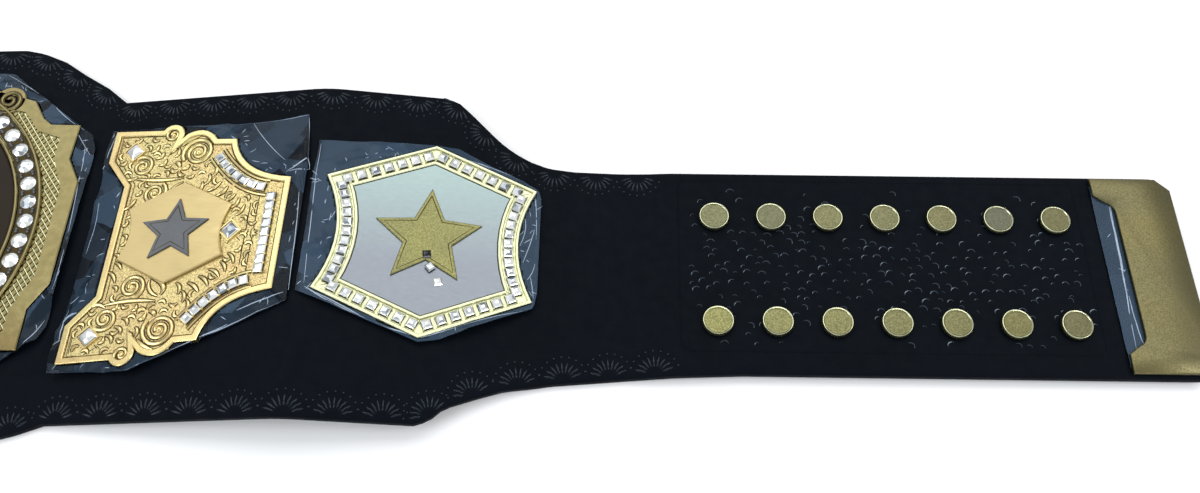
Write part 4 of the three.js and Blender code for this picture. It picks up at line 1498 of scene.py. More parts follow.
# Leaves and sprigs of one half: start, middle, end and width
INNER_LEAVES = (
    ((-33.5, 35.2), (-20, 32.2), (-7, 34), 1.7),
    ((-12.5, 21.5), (-1.5, 25), (-5.5, 31), 2.2),
    ((-12.5, 22.5), (-13.5, 29), (-6.5, 31.5), 1.5),
    ((-38.5, 36), (-36.5, 33), (-32, 36.5), 1.6),
    ((-10.5, 39), (-14.5, 36.5), (-14.8, 40.5), 2),
    ((-10.2, 38.6), (-10.4, 34.6), (-6.6, 35.8), 2),
    ((-9.8, 39.2), (-5.4, 39.4), (-6.2, 42.2), 2),
    ((-10.4, 39.8), (-11, 44), (-14, 43.2), 2),
    ((-22.5, 42.2), (-18.2, 42.2), (-18.8, 46.2), 1.5),
    ((-25.2, 46.4), (-20.4, 46.8), (-21.2, 50.6), 1.5),
    ((-28.6, 50.6), (-23.8, 51.2), (-24.8, 55), 1.5),
    ((-17.8, 49.5), (-14, 50.8), (-15.8, 54.6), 1.6),
    ((-14.6, 46.8), (-11.5, 48.6), (-13.4, 52.4), 1.4),
    ((-12, 53), (-9.5, 57), (-3, 58.8), 1.6),
    ((-10.5, 58.5), (-4, 62), (5, 58.6), 1.6),
    ((1, 24.6), (5.4, 27.4), (3.2, 31.2), 1.5),
    ((4.6, 29), (8.6, 31.8), (6.2, 35.6), 1.5),
    ((7.8, 33.6), (11.6, 36.6), (8.8, 40.4), 1.5),
    ((6.8, 25.2), (11, 26), (13.6, 30.6), 1.6),
    ((11.8, 22), (16.2, 23), (17.6, 27.6), 1.5),
    ((16.2, 18.6), (20.6, 19), (22.4, 23), 1.4),
    ((21.2, 14.6), (25, 16.4), (24.8, 20.4), 1.4),
    ((24.2, 10.2), (28.2, 12), (28.2, 16.4), 1.3),
    ((-36, 17), (-31, 18.6), (-30.4, 23.4), 1.5),
    ((-33.2, 12.2), (-29.8, 13), (-28.6, 16.4), 1.2),
    ((-29.4, 29.4), (-31.4, 32.4), (-27.6, 33.2), 1.3),
)

# Tries for a sprig's place, its distance from the border, and the room that it leaves round the middle of
# each thing, in millimetres
SPRIG_TRIES = 6000
SPRIG_MARGIN = 2.6
ROOM = {"stroke": 2.5, "single stone": 7.2, "corner stones": 5.4, "stone column": 5.2, "sprig": 4.5}

# Dots of gold between the scrolls: centre and radius
INNER_DOTS = (
    (-21, 26, 1.3), (-31, 42.3, 1.2), (-2.2, 48.8, 1.6), (-18.1, 60.6, 1), (-10.4, 39.4, 1.2),
    (-24.8, 36.8, 0.9), (-16.6, 37.4, 0.8), (-37, 47.6, 0.8), (-24, 57.6, 0.8), (2.6, 37.8, 0.9),
    (9.2, 44.2, 0.9), (14.6, 33, 0.8), (20.4, 27.8, 0.8), (27.4, 21.6, 0.8),
)


def single_places():
    """Single stones on the inner plate: both pads and beside the shield."""
    return [inner_point(0.131, 0.77), inner_point(0.131, -0.77), inner_point(0.735, 0.03)]


def sprigs(strokes):
    """Small commas over what the scrolls leave free on the upper half of the inner plate."""
    s = belt().inner
    ground = in_mm(inset(inner_outline(), s.border_width + SPRIG_MARGIN * MM))
    taken = [(x, y, ROOM["stroke"]) for stroke in strokes for x, y, _ in stroke]
    taken += [(x, y, ROOM["single stone"]) for x, y in in_mm(single_places())]
    taken += [(x, y, ROOM["corner stones"]) for x, y in in_mm(stone_corner())]
    column = inner_point(STONE_COLUMN, 0)[0] / MM
    taken += [(column, y, ROOM["stone column"]) for y in range(0, 28, 2)]
    middle, offset = inner_point(SHIELD_MIDDLE, 0)[0] / MM, s.shield_offset / MM
    rim = 2 * ROOM["stroke"]
    shield = shield_outline(s.shield_width / MM + rim, s.shield_height / MM + rim)
    half_length, half_height = 48, 66
    reach, bow, width, steps = 2.1, 2.3, 1.4, 6
    draw = random.Random(3)
    made = []
    for _ in range(SPRIG_TRIES):
        x, y = draw.uniform(-half_length, half_length), draw.uniform(0, half_height)
        turn = draw.uniform(0, 2 * math.pi)
        free = inside(ground, x, y) and not inside(shield, x - middle, y - offset)
        if free and all(math.hypot(x - a, y - b) > gap for a, b, gap in taken):
            along = reach * Vector((math.cos(turn), math.sin(turn)))
            side = Vector((-along.y, along.x)).normalized() * bow
            here = Vector((x, y))
            made.append(sweep(here - along - side / 3, here + side, here + along - side / 3, width, steps))
            taken.append((x, y, ROOM["sprig"]))
    return made


def inner_strokes():
    """All raised lines of the inner plate, in millimetres."""
    beside_stones, line_width = 4.1 * MM, 1.3
    half = [spiral(*row) for row in INNER_SCROLLS]
    half += [sweep(*row) for row in INNER_LEAVES]
    half += [even(in_mm(stone_corner(side * beside_stones)), line_width) for side in (1, -1)]
    half += sprigs(half)
    return [[(x, sign * y, w) for x, y, w in stroke] for sign in (1, -1) for stroke in half]


# Engraved lines of the inner plate, in millimetres: half length and place of the two beside the shield,
# inner and outer reach of the rays round a single stone, and the bent line on a pad
UPRIGHTS = ((17, 31.3), (21, 35.2))
RAY_START = 5.6
RAY_ENDS = (7.4, 8.2)
PAD_LINE = ((-45.6, 47.5), (-45.6, 60.6), (-26.5, 60.6), (-31, 56), (-37, 60))


def inner_lines():
    """Thin dark engraved lines of the inner plate, in millimetres."""
    edge = belt().inner.border_width
    wide, thin = 0.6, 0.5
    border = in_mm(inset(inner_outline(), edge + 0.75 * MM))
    second = in_mm(inset(inner_outline(), edge + 2.5 * MM))
    lines = [even([*border, border[0]], wide), even([*second[-3:], *second[:3]], thin)]
    lines += [even([(x, -reach), (x, reach)], wide) for reach, x in UPRIGHTS]
    for x, y in in_mm(single_places()):
        for i in range(8):
            at = math.pi / 4 * i
            ends = (RAY_START, RAY_ENDS[i % 2])
            ray = [(x + reach * math.cos(at), y + reach * math.sin(at)) for reach in ends]
            lines.append(even(ray, thin))
    lines += [even([(x, sign * y) for x, y in PAD_LINE], thin) for sign in (1, -1)]
    return lines


def single_setting():
    """A raised square collar round a single stone: a sloping wall, a flat top and a step down to the seat."""
    half = belt().stones.single_size / 2
    sections = ((1.2, 0), (1, 0.95), (0.45, 0.95), (0.3, 0.2))
    loops = []
    for past_stone, height in sections:
        side = half + past_stone * MM
        loops.append(at_height([(side, -side), (side, side), (-side, side), (-side, -side)], height * MM))
    return lofted(loops)


def inner_plate():
    s, stones = belt().inner, belt().stones
    outline = inner_outline()
    top = s.floor + s.border_rise
    bevel = 0.4 * MM
    base = lofted([
        at_height(outline, 0),
        at_height(outline, top - bevel),
        at_height(inset(outline, bevel), top),
        at_height(inset(outline, s.border_width), top),
        at_height(inset(outline, s.border_width + bevel), top - bevel),
        at_height(inset(outline, s.border_width + bevel), s.floor),
    ])
    parts = [coated(base, bright_gold_casting, punched_gold_ground)]
    coat_floor(base, s.floor)
    shadow_width, shadow_flatness, line_flatness = 0.48, 0.1, 0.4
    strokes = inner_strokes()
    parts.append(coated(lifted(drawn(strokes, s.scroll_rise / MM), s.floor), bright_gold_casting))
    # Painted shadow: a wider, flat dark copy under each raised stroke, showing as a dark outline round it.
    shadow = [[(x, y, w + shadow_width) for x, y, w in stroke] for stroke in strokes]
    parts.append(coated(lifted(drawn(shadow, shadow_flatness), s.floor), patina_and_painted_shade))
    parts.append(coated(lifted(drawn(inner_lines(), line_flatness), s.floor), patina_and_painted_shade))
    dots = [standing(x * MM, sign * y * MM, s.floor, 0, r) for x, y, r in INNER_DOTS for sign in (1, -1)]
    parts.append(coated(copies(bead(MM, 0.7 * MM), dots), bright_gold_casting))
    eighth = math.pi / 4
    settings = [standing(x, y, s.floor, eighth) for x, y in single_places()]
    parts.append(coated(copies(single_setting(), settings), bright_gold_casting))
    held = [standing(x, y, s.floor + 0.5 * MM, eighth) for x, y in single_places()]
    singles = stone_set(square_stone(stones.single_size, stones.rise), held, seed=23)
    both_sides(
        moved(joined(*parts, singles), inner_seat()), "inner_plate_casting", "cast_gold", "inner_plate"
    )


def shield_outline(width, height):
    w, h = width / 2, height / 2
    side = bend((w, h / 2), (0.74 * w, 0), (w, -h / 2), 12)
    return [(0, h), *side, (0, -h), *((-x, y) for x, y in reversed(side))]


def slab(outline, low, top, bevel):
    """A flat plate with a bevelled upper edge."""
    return lofted([
        at_height(outline, low),
        at_height(outline, top - bevel),
        at_height(inset(outline, bevel), top),
    ])


def shield_seat():
    middle, _ = inner_point(SHIELD_MIDDLE, 0)
    return inner_seat() @ Matrix.Translation((middle, belt().inner.shield_offset, 0))


def inner_shield():
    s = belt().inner
    low = s.floor + belt().film.clearance
    shield = slab(shield_outline(s.shield_width, s.shield_height), low, low + s.shield_thickness, 0.5 * MM)
    coated(moved(shield, shield_seat()), copper_gold_sheet)
    both_sides(shield, "inner_shield_sheet", "shield_gold", "inner_shield")


STAR_RISE = 0.8 * MM


def star_piece(radius, low, body):
    """A five-pointed star with softened edges and a thin dark inset line round it."""
    outline = star_outline(radius)
    top = low + STAR_RISE
    line_inset, line_width, line_flatness = 1.7 * MM, 0.55, 0.35
    star = coated(slab(outline, low, top, 0.35 * MM), body)
    path = in_mm(inset(outline, line_inset))
    thread = lifted(drawn([even([*path, path[0]], line_width)], line_flatness), top)
    return joined(star, coated(thread, patina_and_painted_shade))


def inner_star():
    s = belt().inner
    low = s.floor + s.shield_thickness + 2 * belt().film.clearance
    star = star_piece(s.star, low, blasted_nickel)
    both_sides(moved(star, shield_seat()), "inner_star_mark", "satin_silver", "inner_star")


def inner_stones():
    """Three rows of square stones: along both hollow corners and along the outer edge."""
    s, stones = belt().inner, belt().stones
    low = s.floor + belt().film.clearance + stones.setting
    corner = run_along(stone_corner(), stones.row_pitch, stones.square_size)
    rows = [*corner, *((x, -y, -turn) for x, y, turn in corner)]
    column, reach = inner_point(STONE_COLUMN, COLUMN_REACH)
    rows += run_along([(column, reach), (column, -reach)], 0.94 * stones.row_pitch, stones.square_size)
    string = square_string(rows, low, seed=31, finish=bright_gold_casting)
    both_sides(moved(string, inner_seat()), "inner_stone_rows", "cut_stone", "inner_stones", smooth=12)


# Outer plates

HOLLOW_STEPS = 10


def outer_outline():
    """Six corners, with a hollow curve between the two on each side."""
    s = belt().outer
    w, h, side = s.width / 2, s.height / 2, s.side / 2
    hollow = bend((w, side), (w - 2 * s.hollow, 0), (w, -side), HOLLOW_STEPS)
    return [(0, h), *hollow, (0, -h), *((-x, y) for x, y in reversed(hollow))]


def outer_seat():
    s = belt().outer
    return seat(s.start + s.width / 2, s.axis)


def outer_frame():
    s = belt().outer
    outline = outer_outline()
    top = s.floor + s.frame_rise
    bevel = 0.35 * MM
    sections = (
        (0, 0), (0, top - bevel), (bevel, top), (s.frame_rim - bevel, top), (s.frame_rim, top - bevel),
        (s.frame_rim, s.floor), (s.frame_width - s.frame_rim, s.floor),
        (s.frame_width - s.frame_rim, top - bevel), (s.frame_width - s.frame_rim + bevel, top),
        (s.frame_width - bevel, top), (s.frame_width, top - bevel), (s.frame_width, 0), (0, 0),
    )
    ring = lofted([at_height(inset(outline, d), z) for d, z in sections], ring=True)
    coated(ring, pale_gold_casting)
    both_sides(moved(ring, outer_seat()), "outer_frame_casting", "cast_gold", "outer_frame")


def panel_top():
    s = belt().outer
    return s.floor + s.frame_rise - s.panel_drop


def outer_panel():
    outline = inset(outer_outline(), belt().outer.frame_width + belt().film.clearance)
    panel = slab(outline, 0, panel_top(), 0.2 * MM)
    coated(moved(panel, outer_seat()), brushed_nickel_sheet)
    both_sides(panel, "outer_panel_sheet", "satin_silver", "outer_panel")


def outer_star():
    star = star_piece(belt().outer.star, panel_top() + belt().film.clearance, blasted_brass_sheet)
    both_sides(moved(star, outer_seat()), "outer_star_mark", "cast_gold", "outer_star")


def outer_stones():
    """Square stones all round the frame: close together on the hollow sides, wider on the slants."""
    s, stones = belt().outer, belt().stones
    line = inset(outer_outline(), s.frame_width / 2)
    closed = [*line, line[0]]
    first, second = 1, 1 + HOLLOW_STEPS
    corners = [0, first, second, second + 1, second + 2, second + 2 + HOLLOW_STEPS, len(line)]
    rows = []
    for start, end in zip(corners, corners[1:]):
        stretch = closed[start : end + 1]
        pitch = stones.row_pitch if len(stretch) > 2 else stones.slant_pitch
        rows += run_along(stretch, pitch, stones.square_size)
    low = s.floor + belt().film.clearance + stones.setting
    string = square_string(rows, low, seed=47, finish=pale_gold_casting)
    both_sides(moved(string, outer_seat()), "outer_stone_rows", "cut_stone", "outer_stones", smooth=12)


# Stones that have come loose: x and y from the right outer plate's middle in millimetres, turn in degrees
# and whether one lies on the star. The first is black.
LOOSE_STONES = ((0.3, -9.6, 8, True), (2.4, -16.2, 40, True), (6.7, -23.4, 15, False))


def loose_stones():
    """Three smaller square stones, which stand for no node of the frame."""
    stones = belt().stones
    on_star = panel_top() + belt().film.clearance + STAR_RISE
    places = []
    for x, y, turn, on_top in LOOSE_STONES:
        height = on_star if on_top else panel_top()
        places.append(standing(x * MM, y * MM, height, math.radians(turn)))
    loose = stone_set(square_stone(0.86 * stones.square_size, stones.rise), places, 5, black_glass_stone)
    for face in loose.data.polygons[: len(loose.data.polygons) // len(places)]:
        face.material_index = 1
    finished(moved(loose, outer_seat()), "loose_stones", "cut_stone", smooth=12)


# Press studs


def stud_places():
    """The name, x and y of each press stud of the right half."""
    s = belt().studs
    rows = bends()
    places = []
    for row, sign in (("upper", 1), ("lower", -1)):
        for i in range(s.columns):
            x, _, _ = lie(rows, s.first + i * s.pitch, 0)
            places.append((f"{row}_{i + 1}", x, s.axis + sign * s.row_spacing / 2))
    return places


STUD_STEPS = 40


# The rolled rim of a cap, as shares of its radius and height, from its axis on top to under its edge. The lip
# that carries a painted highlight lies between two of these radii.
CAP_RIM = (
    (0, 0.86), (0.4, 0.86), (0.7, 0.84), (0.82, 0.81), (0.86, 0.86), (0.895, 1), (0.93, 0.98), (0.96, 0.84),
    (0.985, 0.6), (1, 0.36), (0.985, 0.14), (0.94, 0.02), (0.86, 0),
)
HIGHLIGHT_LIP = (0.86, 0.97)


def cap_profile(radius, rise, low):
    """A flat cap with a rolled rim."""
    return [(r * radius, low + z * rise) for r, z in CAP_RIM]


def leather_front():
    """The height over the floor at which a stud's front parts start."""
    return belt().leather.lift + belt().leather.thickness + belt().film.clearance


def cap_stud():
    """The half of a stud that closes on top: a cap in front and a socket behind."""
    s = belt().studs
    front = leather_front()
    post, socket, back = s.post / 2, s.socket / 2, s.back
    behind = ((0.8, 1), (0.95, 0.7), (1, 0.2), (0.97, 0), (0.5, 0), (0.46, 0.3))
    profile = [
        *cap_profile(s.cap / 2, s.cap_rise, front),
        (post, front),
        (post, back),
        *((r * socket, z * back) for r, z in behind),
        (0, 0.35 * back),
    ]
    return turned(profile, STUD_STEPS)


def ball_stud():
    """The half that is closed over: a ball on its flange in front and a plain cap behind."""
    s = belt().studs
    front = leather_front()
    post, flange, ball = s.post / 2, s.socket / 2, s.ball / 2
    on_ball = ((0.62, 1), (0.88, 0.95), (1, 0.82), (0.96, 0.66), (0.84, 0.5), (0.9, 0.34))
    on_flange = ((0.75, 0.27), (0.93, 0.2), (1, 0.08), (0.97, 0))
    profile = [
        (0, front + s.ball_rise),
        *((r * ball, front + z * s.ball_rise) for r, z in on_ball),
        *((r * flange, front + z * s.ball_rise) for r, z in on_flange),
        (post, front),
        *((r, s.back - z) for r, z in reversed(cap_profile(s.cap / 2, s.back, 0))),
    ]
    return turned(profile, STUD_STEPS)


def paint_lip_highlight(stud):
    """Gives the upper faces on a cap's lip the second material, its painted highlight."""
    s = belt().studs
    low = belt().leather.lift + belt().leather.thickness + 0.5 * s.cap_rise
    for face in stud.data.polygons:
        reach = math.hypot(face.center.x, face.center.y) / (s.cap / 2)
        face.material_index = int(HIGHLIGHT_LIP[0] < reach < HIGHLIGHT_LIP[1] and face.center.z > low)


def press_studs():
    """Caps on the right strap end and the balls that they snap onto on the left, each with its own tint."""
    draw = random.Random(19)
    for side, sign in SIDES.items():
        kind = "cap_stud" if side == "right" else "ball_stud"
        model = cap_stud() if side == "right" else ball_stud()
        coated(model, stamped_brass, brass_lip_highlight)
        if side == "right":
            paint_lip_highlight(model)
        for name, x, y in stud_places():
            stud = twin(model, Matrix.Translation((sign * x, y, 0)))
            tint = stud.data.attributes.new("tint", "FLOAT", "POINT")
            tint.data.foreach_set("value", [draw.uniform(0, 1)] * len(stud.data.vertices))
            finished(stud, f"{kind}_{name}", "satin_brass", f"snap_{side}_{name}", smooth=35)
        bpy.data.objects.remove(model)


# Tip plates


def tip_plate():
    """A plate with cut outer corners, and a recess with rounded corners in its inner side."""
    s = belt().tips
    long, half, cut, deep = s.length, s.half_height, s.chamfer, s.recess
    corner = 4.5 * MM
    tall = half - 1.6 * deep
    slope, lean = 0.55 * deep, 0.35 * corner
    outline = [
        (0, half), (long - cut, half), (long, half - cut),
        (long, -half + cut), (long - cut, -half), (0, -half), (0, -half + deep),
        *bend((slope, -tall - lean), (deep, -tall), (deep, -tall + corner), 5),
        *bend((deep, tall - corner), (deep, tall), (slope, tall + lean), 5),
        (0, half - deep),
    ]
    bevel = 0.55 * MM
    plate = lofted([
        at_height(outline, 0),
        at_height(outline, s.thickness - bevel),
        at_height(inset(outline, 0.4 * bevel), s.thickness - 0.35 * bevel),
        at_height(inset(outline, bevel), s.thickness),
    ])
    at = seat(belt().leather.half_length - long - s.end_margin, belt().studs.axis)
    coated(moved(plate, at), blasted_brass_sheet)
    both_sides(plate, "tip_plate_sheet", "satin_brass", "tip_plate")


# Clear film under the plates' edges

# Edges of a side plate's film, as shares of the plate's length from its inner end and of half its height
INNER_FILM = {
    "top": ((-0.03, 0.99), (0.4, 0.985), (0.78, 0.99), (1.03, 1.04), (1.065, 0.6)),
    "bottom": ((-0.03, -1.035), (0.37, -1.035), (0.78, -0.75), (1.03, -0.57), (1.065, -0.54)),
}
OUTER_FILM = {
    "top": ((-0.06, 0.99), (0.35, 1.03), (0.61, 1.01), (0.73, 0.88), (1.01, 0.61), (1.025, 0.52)),
    "bottom": ((-0.06, -0.6), (-0.005, -0.65), (0.5, -1.03), (0.6, -0.99), (1.01, -0.63), (1.025, -0.48)),
}

# How far a main or side plate's edge and a tip plate's edge lift the film
PLATE_LIFT = 2.4 * MM
TIP_LIFT = 0.6 * MM

# The three sizes of the film's folds: facet size, turn and share of the largest fold
FOLDS = ((21 * MM, 0.5, 0.6), (10 * MM, 1.9, 0.3), (5.5 * MM, 2.7, 0.16))


def gap_outside(points, x, y):
    """Distance from a point to a closed outline, or 0 inside it."""
    if inside(points, x, y):
        return 0
    nearest = math.inf
    for (x0, y0), (x1, y1) in zip(points, points[1:] + points[:1]):
        dx, dy = x1 - x0, y1 - y0
        share = min(1, max(0, ((x - x0) * dx + (y - y0) * dy) / (dx * dx + dy * dy)))
        nearest = min(nearest, math.hypot(x - x0 - share * dx, y - y0 - share * dy))
    return nearest


def crumple(x, y, size, turn, seed):
    """The height of ground made of flat facets that meet in sharp creases, from 0 to 1."""
    u = (x * math.cos(turn) + y * math.sin(turn)) / size
    v = (y * math.cos(turn) - x * math.sin(turn)) / size
    i, j = math.floor(u), math.floor(v)
    a, b = u - i, v - j
    corner = (i + 1, j) if a > b else (i, j + 1)
    corners = ((i, j), corner, (i + 1, j + 1))
    near, side, far = (noise.cell(Vector((p + 0.5, q + 0.5, seed + 0.5))) for p, q in corners)
    return abs(near * (1 - max(a, b)) + side * abs(a - b) + far * min(a, b))


def film_height(outline, plate_rise, seed):
    """The height of a film over the leather's back: flat under the plate, falling from its edge in folds,
    of which the smallest stay near the plate."""
    s = belt().film
    low = belt().leather.thickness + s.clearance + s.gauge
    full_fold, small_reach = 3 * MM, 6 * MM

    def height(along, y):
        gap = gap_outside(outline, along, y)
        if gap <= 0:
            return low
        fall = math.exp(-gap / s.drape) * plate_rise
        large, middle, small = (
            crumple(along, y, size, turn, seed + 3 * i) for i, (size, turn, _) in enumerate(FOLDS)
        )
        near = math.exp(-gap / small_reach)
        (_, _, most), (_, _, less), (_, _, least) = FOLDS
        folds = most * large * large + less * middle * large + least * near * small
        return low + fall + min(1, gap / full_fold) * s.fold * folds

    return height


# The film's sharpest creases, in millimetres: start, middle, end and width. Those of a side plate count
# from the plate's middle, the others from the belt's.
INNER_CREASES = (
    ((47, 33.5), (52, 37.5), (56.5, 42.5), 1.2),
    ((48.5, 33.5), (53, 35), (57, 35), 0.9),
    ((53, 66.5), (55.5, 50.5), (57.5, 35), 0.5),
    ((13, 65.5), (34.5, 66), (52, 68.5), 0.35),
    ((54.5, 25), (56.5, -6.5), (57, -31), 0.4),
    ((3, -61), (17.5, -54.5), (30.5, -47), 0.9),
    ((18.5, -53.5), (36.5, -45.5), (56.5, -36), 1),
    ((34, -40.5), (45, -36), (55, -32), 0.8),
    ((-9.5, -69.5), (-3, -65.5), (7.5, -61.5), 0.9),
    ((-19, -69), (-11, -69.5), (-8, -65.5), 0.9),
    ((-51, -43), (-49.5, -40), (-45.5, -38.5), 1.4),
    ((-52, -32.5), (-50, -32), (-47, -29.5), 0.9),
    ((-51, -53), (-51.5, -44.5), (-51, -36), 0.6),
    ((-52, 48.5), (-51.5, 57.5), (-50.5, 63.5), 0.5),
    ((-51, -5.5), (-49.5, 3.5), (-50.5, 26.5), 0.4),
    ((24, 65), (31, 54), (44.5, 41.5), 0.35),
)
OUTER_CREASES = (
    ((-51.5, -32), (-37.5, -37.5), (-24, -45), 0.8),
    ((-45, -35.5), (-29, -43), (-21, -46.5), 0.6),
    ((-21, -47.5), (-8.5, -49), (-0.5, -52), 0.9),
    ((0, -52.5), (8.5, -49.5), (17.5, -45.5), 0.8),
    ((17.5, -45.5), (32.5, -39), (48, -35.5), 0.7),
    ((46.5, -9.5), (49.5, 0), (51.5, 9.5), 0.5),
    ((44.5, -0.5), (48.5, 9.5), (46, 16.5), 0.5),
    ((50.5, -16.5), (52, -23), (52.5, -28), 0.6),
    ((51, 29), (52.5, 17.5), (52.5, 4), 0.4),
    ((20.5, 45.5), (36, 41), (51, 32.5), 0.4),
    ((-57, 50), (-56.5, 9), (-54.5, -28), 0.4),
    ((-54, -30), (-49, -33.5), (-43.5, -36.5), 1),
    ((49, -18.5), (52, -14), (52.5, -9), 0.5),
    ((13.5, 46.5), (20.5, 46), (27.5, 42.5), 0.5),
)
MAIN_CREASES = (
    ((54, 96), (79.5, 82), (104, 60), 0.4),
    ((98, 62), (104, 54), (109.5, 46), 0.4),
    ((106, 54), (109, 24.5), (110.5, -4), 0.4),
    ((104, -60), (107, -55), (110, -47), 0.7),
    ((110.5, -31.5), (111, -23), (110.5, -9.5), 0.5),
    ((84, 76), (89.5, 70.5), (98, 64), 0.5),
)
TIP_CREASES = (
    ((629.5, 26.5), (628, -3.5), (626, -56), 0.9),
    ((630, 25), (629, 7.5), (628, -20), 0.6),
    ((628, -25), (628.5, -46), (630, -53.5), 0.8),
)


# Small creases, in millimetres: how far from the plate they lie, and the room they leave to the film's edge
CREASE_NEAR = 0.8
CREASE_FAR = 7
CREASE_ROOM = 2


def creases(chosen, number, outline, rows_top, rows_bottom, seed):
    """The chosen creases of a film and a number of small ones near the plate, as strokes."""
    chosen_width, highest, thin, steps = 0.55, 0.105, 0.04, 6
    strokes = [[(x, y, chosen_width * w) for x, y, w in sweep(*row)] for row in chosen]
    draw = random.Random(seed)
    start, end = rows_top[0][0], rows_top[-1][0]
    while len(strokes) < len(chosen) + number:
        x, y = draw.uniform(start, end), draw.uniform(-highest, highest)
        near = CREASE_NEAR * MM < gap_outside(outline, x, y) < CREASE_FAR * MM
        low, high = across(rows_bottom, x) + CREASE_ROOM * MM, across(rows_top, x) - CREASE_ROOM * MM
        if near and low < y < high:
            turn, reach = draw.uniform(0, math.pi), draw.uniform(0.7, 2.2)
            here, along = Vector((x / MM, y / MM)), reach * Vector((math.cos(turn), math.sin(turn)))
            side = draw.uniform(-0.4, 0.4) * Vector((-along.y, along.x))
            width = draw.uniform(0.3, 0.7)
            line = bend(here - along, here + side, here + along, steps)
            strokes.append([
                (x, y, thin + width / 4 * math.sin(math.pi * i / steps)) for i, (x, y) in enumerate(line)
            ])
    return strokes


def film_sheet(rows_top, rows_bottom, outline, plate_rise, seed, mirrored, strokes):
    """A sheet between two edges with its creases, over both halves of the belt if it is mirrored."""
    s = belt().film
    wall, line_flatness, edge_room, line_rise = 0.1 * MM, 0.4, 0.4 * MM, 0.05 * MM
    start, end = rows_top[0][0], rows_top[-1][0]
    if mirrored:
        start = -end
        strokes = [*strokes, *([(-x, y, w) for x, y, w in stroke] for stroke in strokes)]
    tall = max(y for _, y in rows_top) - min(y for _, y in rows_bottom)
    height = film_height(outline, plate_rise, seed)

    def upper(along):
        return across(rows_top, abs(along) if mirrored else along)

    def lower(along):
        return across(rows_bottom, abs(along) if mirrored else along)

    columns, rows = int((end - start) / s.cell), int(tall / s.cell)
    sheet = flat_sheet(columns, rows, start, end, upper, lower, height)
    coated(thickened(sheet, wall), polythene_film)
    # The creases are raised lines painted pale as glints.
    lines = coated(drawn(strokes, line_flatness), crease_glint_polythene)
    for vertex in lines.data.vertices:
        low, high = lower(vertex.co.x) + edge_room, upper(vertex.co.x) - edge_room
        vertex.co.y = min(high, max(low, vertex.co.y))
        vertex.co.z += height(vertex.co.x, vertex.co.y) + line_rise
    return laid(joined(sheet, lines))


def side_film(rows, sizes, outline, seed, chosen):
    """The film round the right inner or outer plate."""
    middle = sizes.start + sizes.width / 2
    top, bottom = (
        [(sizes.start + u * sizes.width, sizes.axis + v * sizes.height / 2) for u, v in rows[key]]
        for key in ("top", "bottom")
    )
    shown = [(middle + x, sizes.axis + y) for x, y in outline]
    placed = []
    for *points, width in chosen:
        placed.append((*((middle / MM + x, sizes.axis / MM + y) for x, y in points), width))
    strokes = creases(placed, 40, shown, top, bottom, seed)
    return film_sheet(top, bottom, shown, PLATE_LIFT, seed, False, strokes)


def main_film():
    """The film round the main plate, in one piece over both halves."""
    s = belt().main
    half, tall = s.width / 2, s.half_height
    shares = ((0, 0.975), (0.525, 0.97), (1.005, 0.57), (1.028, 0.5))
    top = [(u * half, v * tall) for u, v in shares]
    bottom = [(x, -y) for x, y in top]
    outline = main_outlines()[0]
    strokes = creases(MAIN_CREASES, 20, outline, top, bottom, 2)
    return film_sheet(top, bottom, outline, PLATE_LIFT, 2, True, strokes)


def tip_film():
    """The strip of film that shows in a tip plate's recess."""
    s = belt()
    axis = s.studs.axis
    past_plate, past_corner = 1 * MM, 2 * MM
    start = s.leather.half_length - s.tips.length - past_plate
    end = start + 2.2 * s.tips.recess
    reach = s.tips.half_height + past_corner - 0.6 * s.tips.recess
    rim, corner = start + s.tips.recess, reach - s.tips.recess
    top = [(start, axis + reach), (end, axis + reach)]
    bottom = [(start, axis - reach), (end, axis - reach)]
    covered = [
        (rim, axis - corner),
        (start, axis - reach),
        (end + MM, axis - reach),
        (end + MM, axis + reach),
        (start, axis + reach),
        (rim, axis + corner),
    ]
    strokes = creases(TIP_CREASES, 4, covered, top, bottom, 13)
    return film_sheet(top, bottom, covered, TIP_LIFT, 13, False, strokes)


def films():
    s = belt()
    finished(main_film(), "film_main_sheet", "clear_film", "film_main", smooth=25)
    inner = side_film(INNER_FILM, s.inner, inner_outline(), 5, INNER_CREASES)
    both_sides(inner, "film_inner_sheet", "clear_film", "film_inner", smooth=25)
    outer = side_film(OUTER_FILM, s.outer, outer_outline(), 8, OUTER_CREASES)
    both_sides(outer, "film_outer_sheet", "clear_film", "film_outer", smooth=25)
    both_sides(tip_film(), "film_tip_sheet", "clear_film", "film_tip", smooth=25)


# Stage

HALF_MIDDLE = (0.35, 0, 0)

# Soft boxes: name, place, width, height, power and, where it isn't white, colour
SOFT_BOXES = (
    ("overhead_box", (0.35, 0.75, 1.25), 2.6, 1.1, 16, (1, 1, 0.98)),
    ("left_box", (-0.9, -0.5, 1.2), 0.9, 0.9, 9, (0.92, 0.96, 1)),
    ("right_box", (1.7, -0.3, 1.1), 0.7, 0.9, 8),
    ("front_strip", (0.35, -1.3, 0.42), 2.4, 0.12, 7, (0.97, 0.99, 1)),
)
AIR_COLOUR = "#eef1f6"
AIR_STRENGTH = 0.68


def soft_box(name, at, wide, tall, power, tint=(1, 1, 1)):
    """An area light that faces the middle of the right half."""
    lamp = primitive(bpy.ops.object.light_add, type="AREA", location=at)
    lamp.name = name
    lamp.rotation_euler = (Vector(HALF_MIDDLE) - Vector(at)).to_track_quat("-Z", "Y").to_euler()
    lamp.data.shape = "RECTANGLE"
    lamp.data.size = wide
    lamp.data.size_y = tall
    lamp.data.energy = power
    lamp.data.color = tint


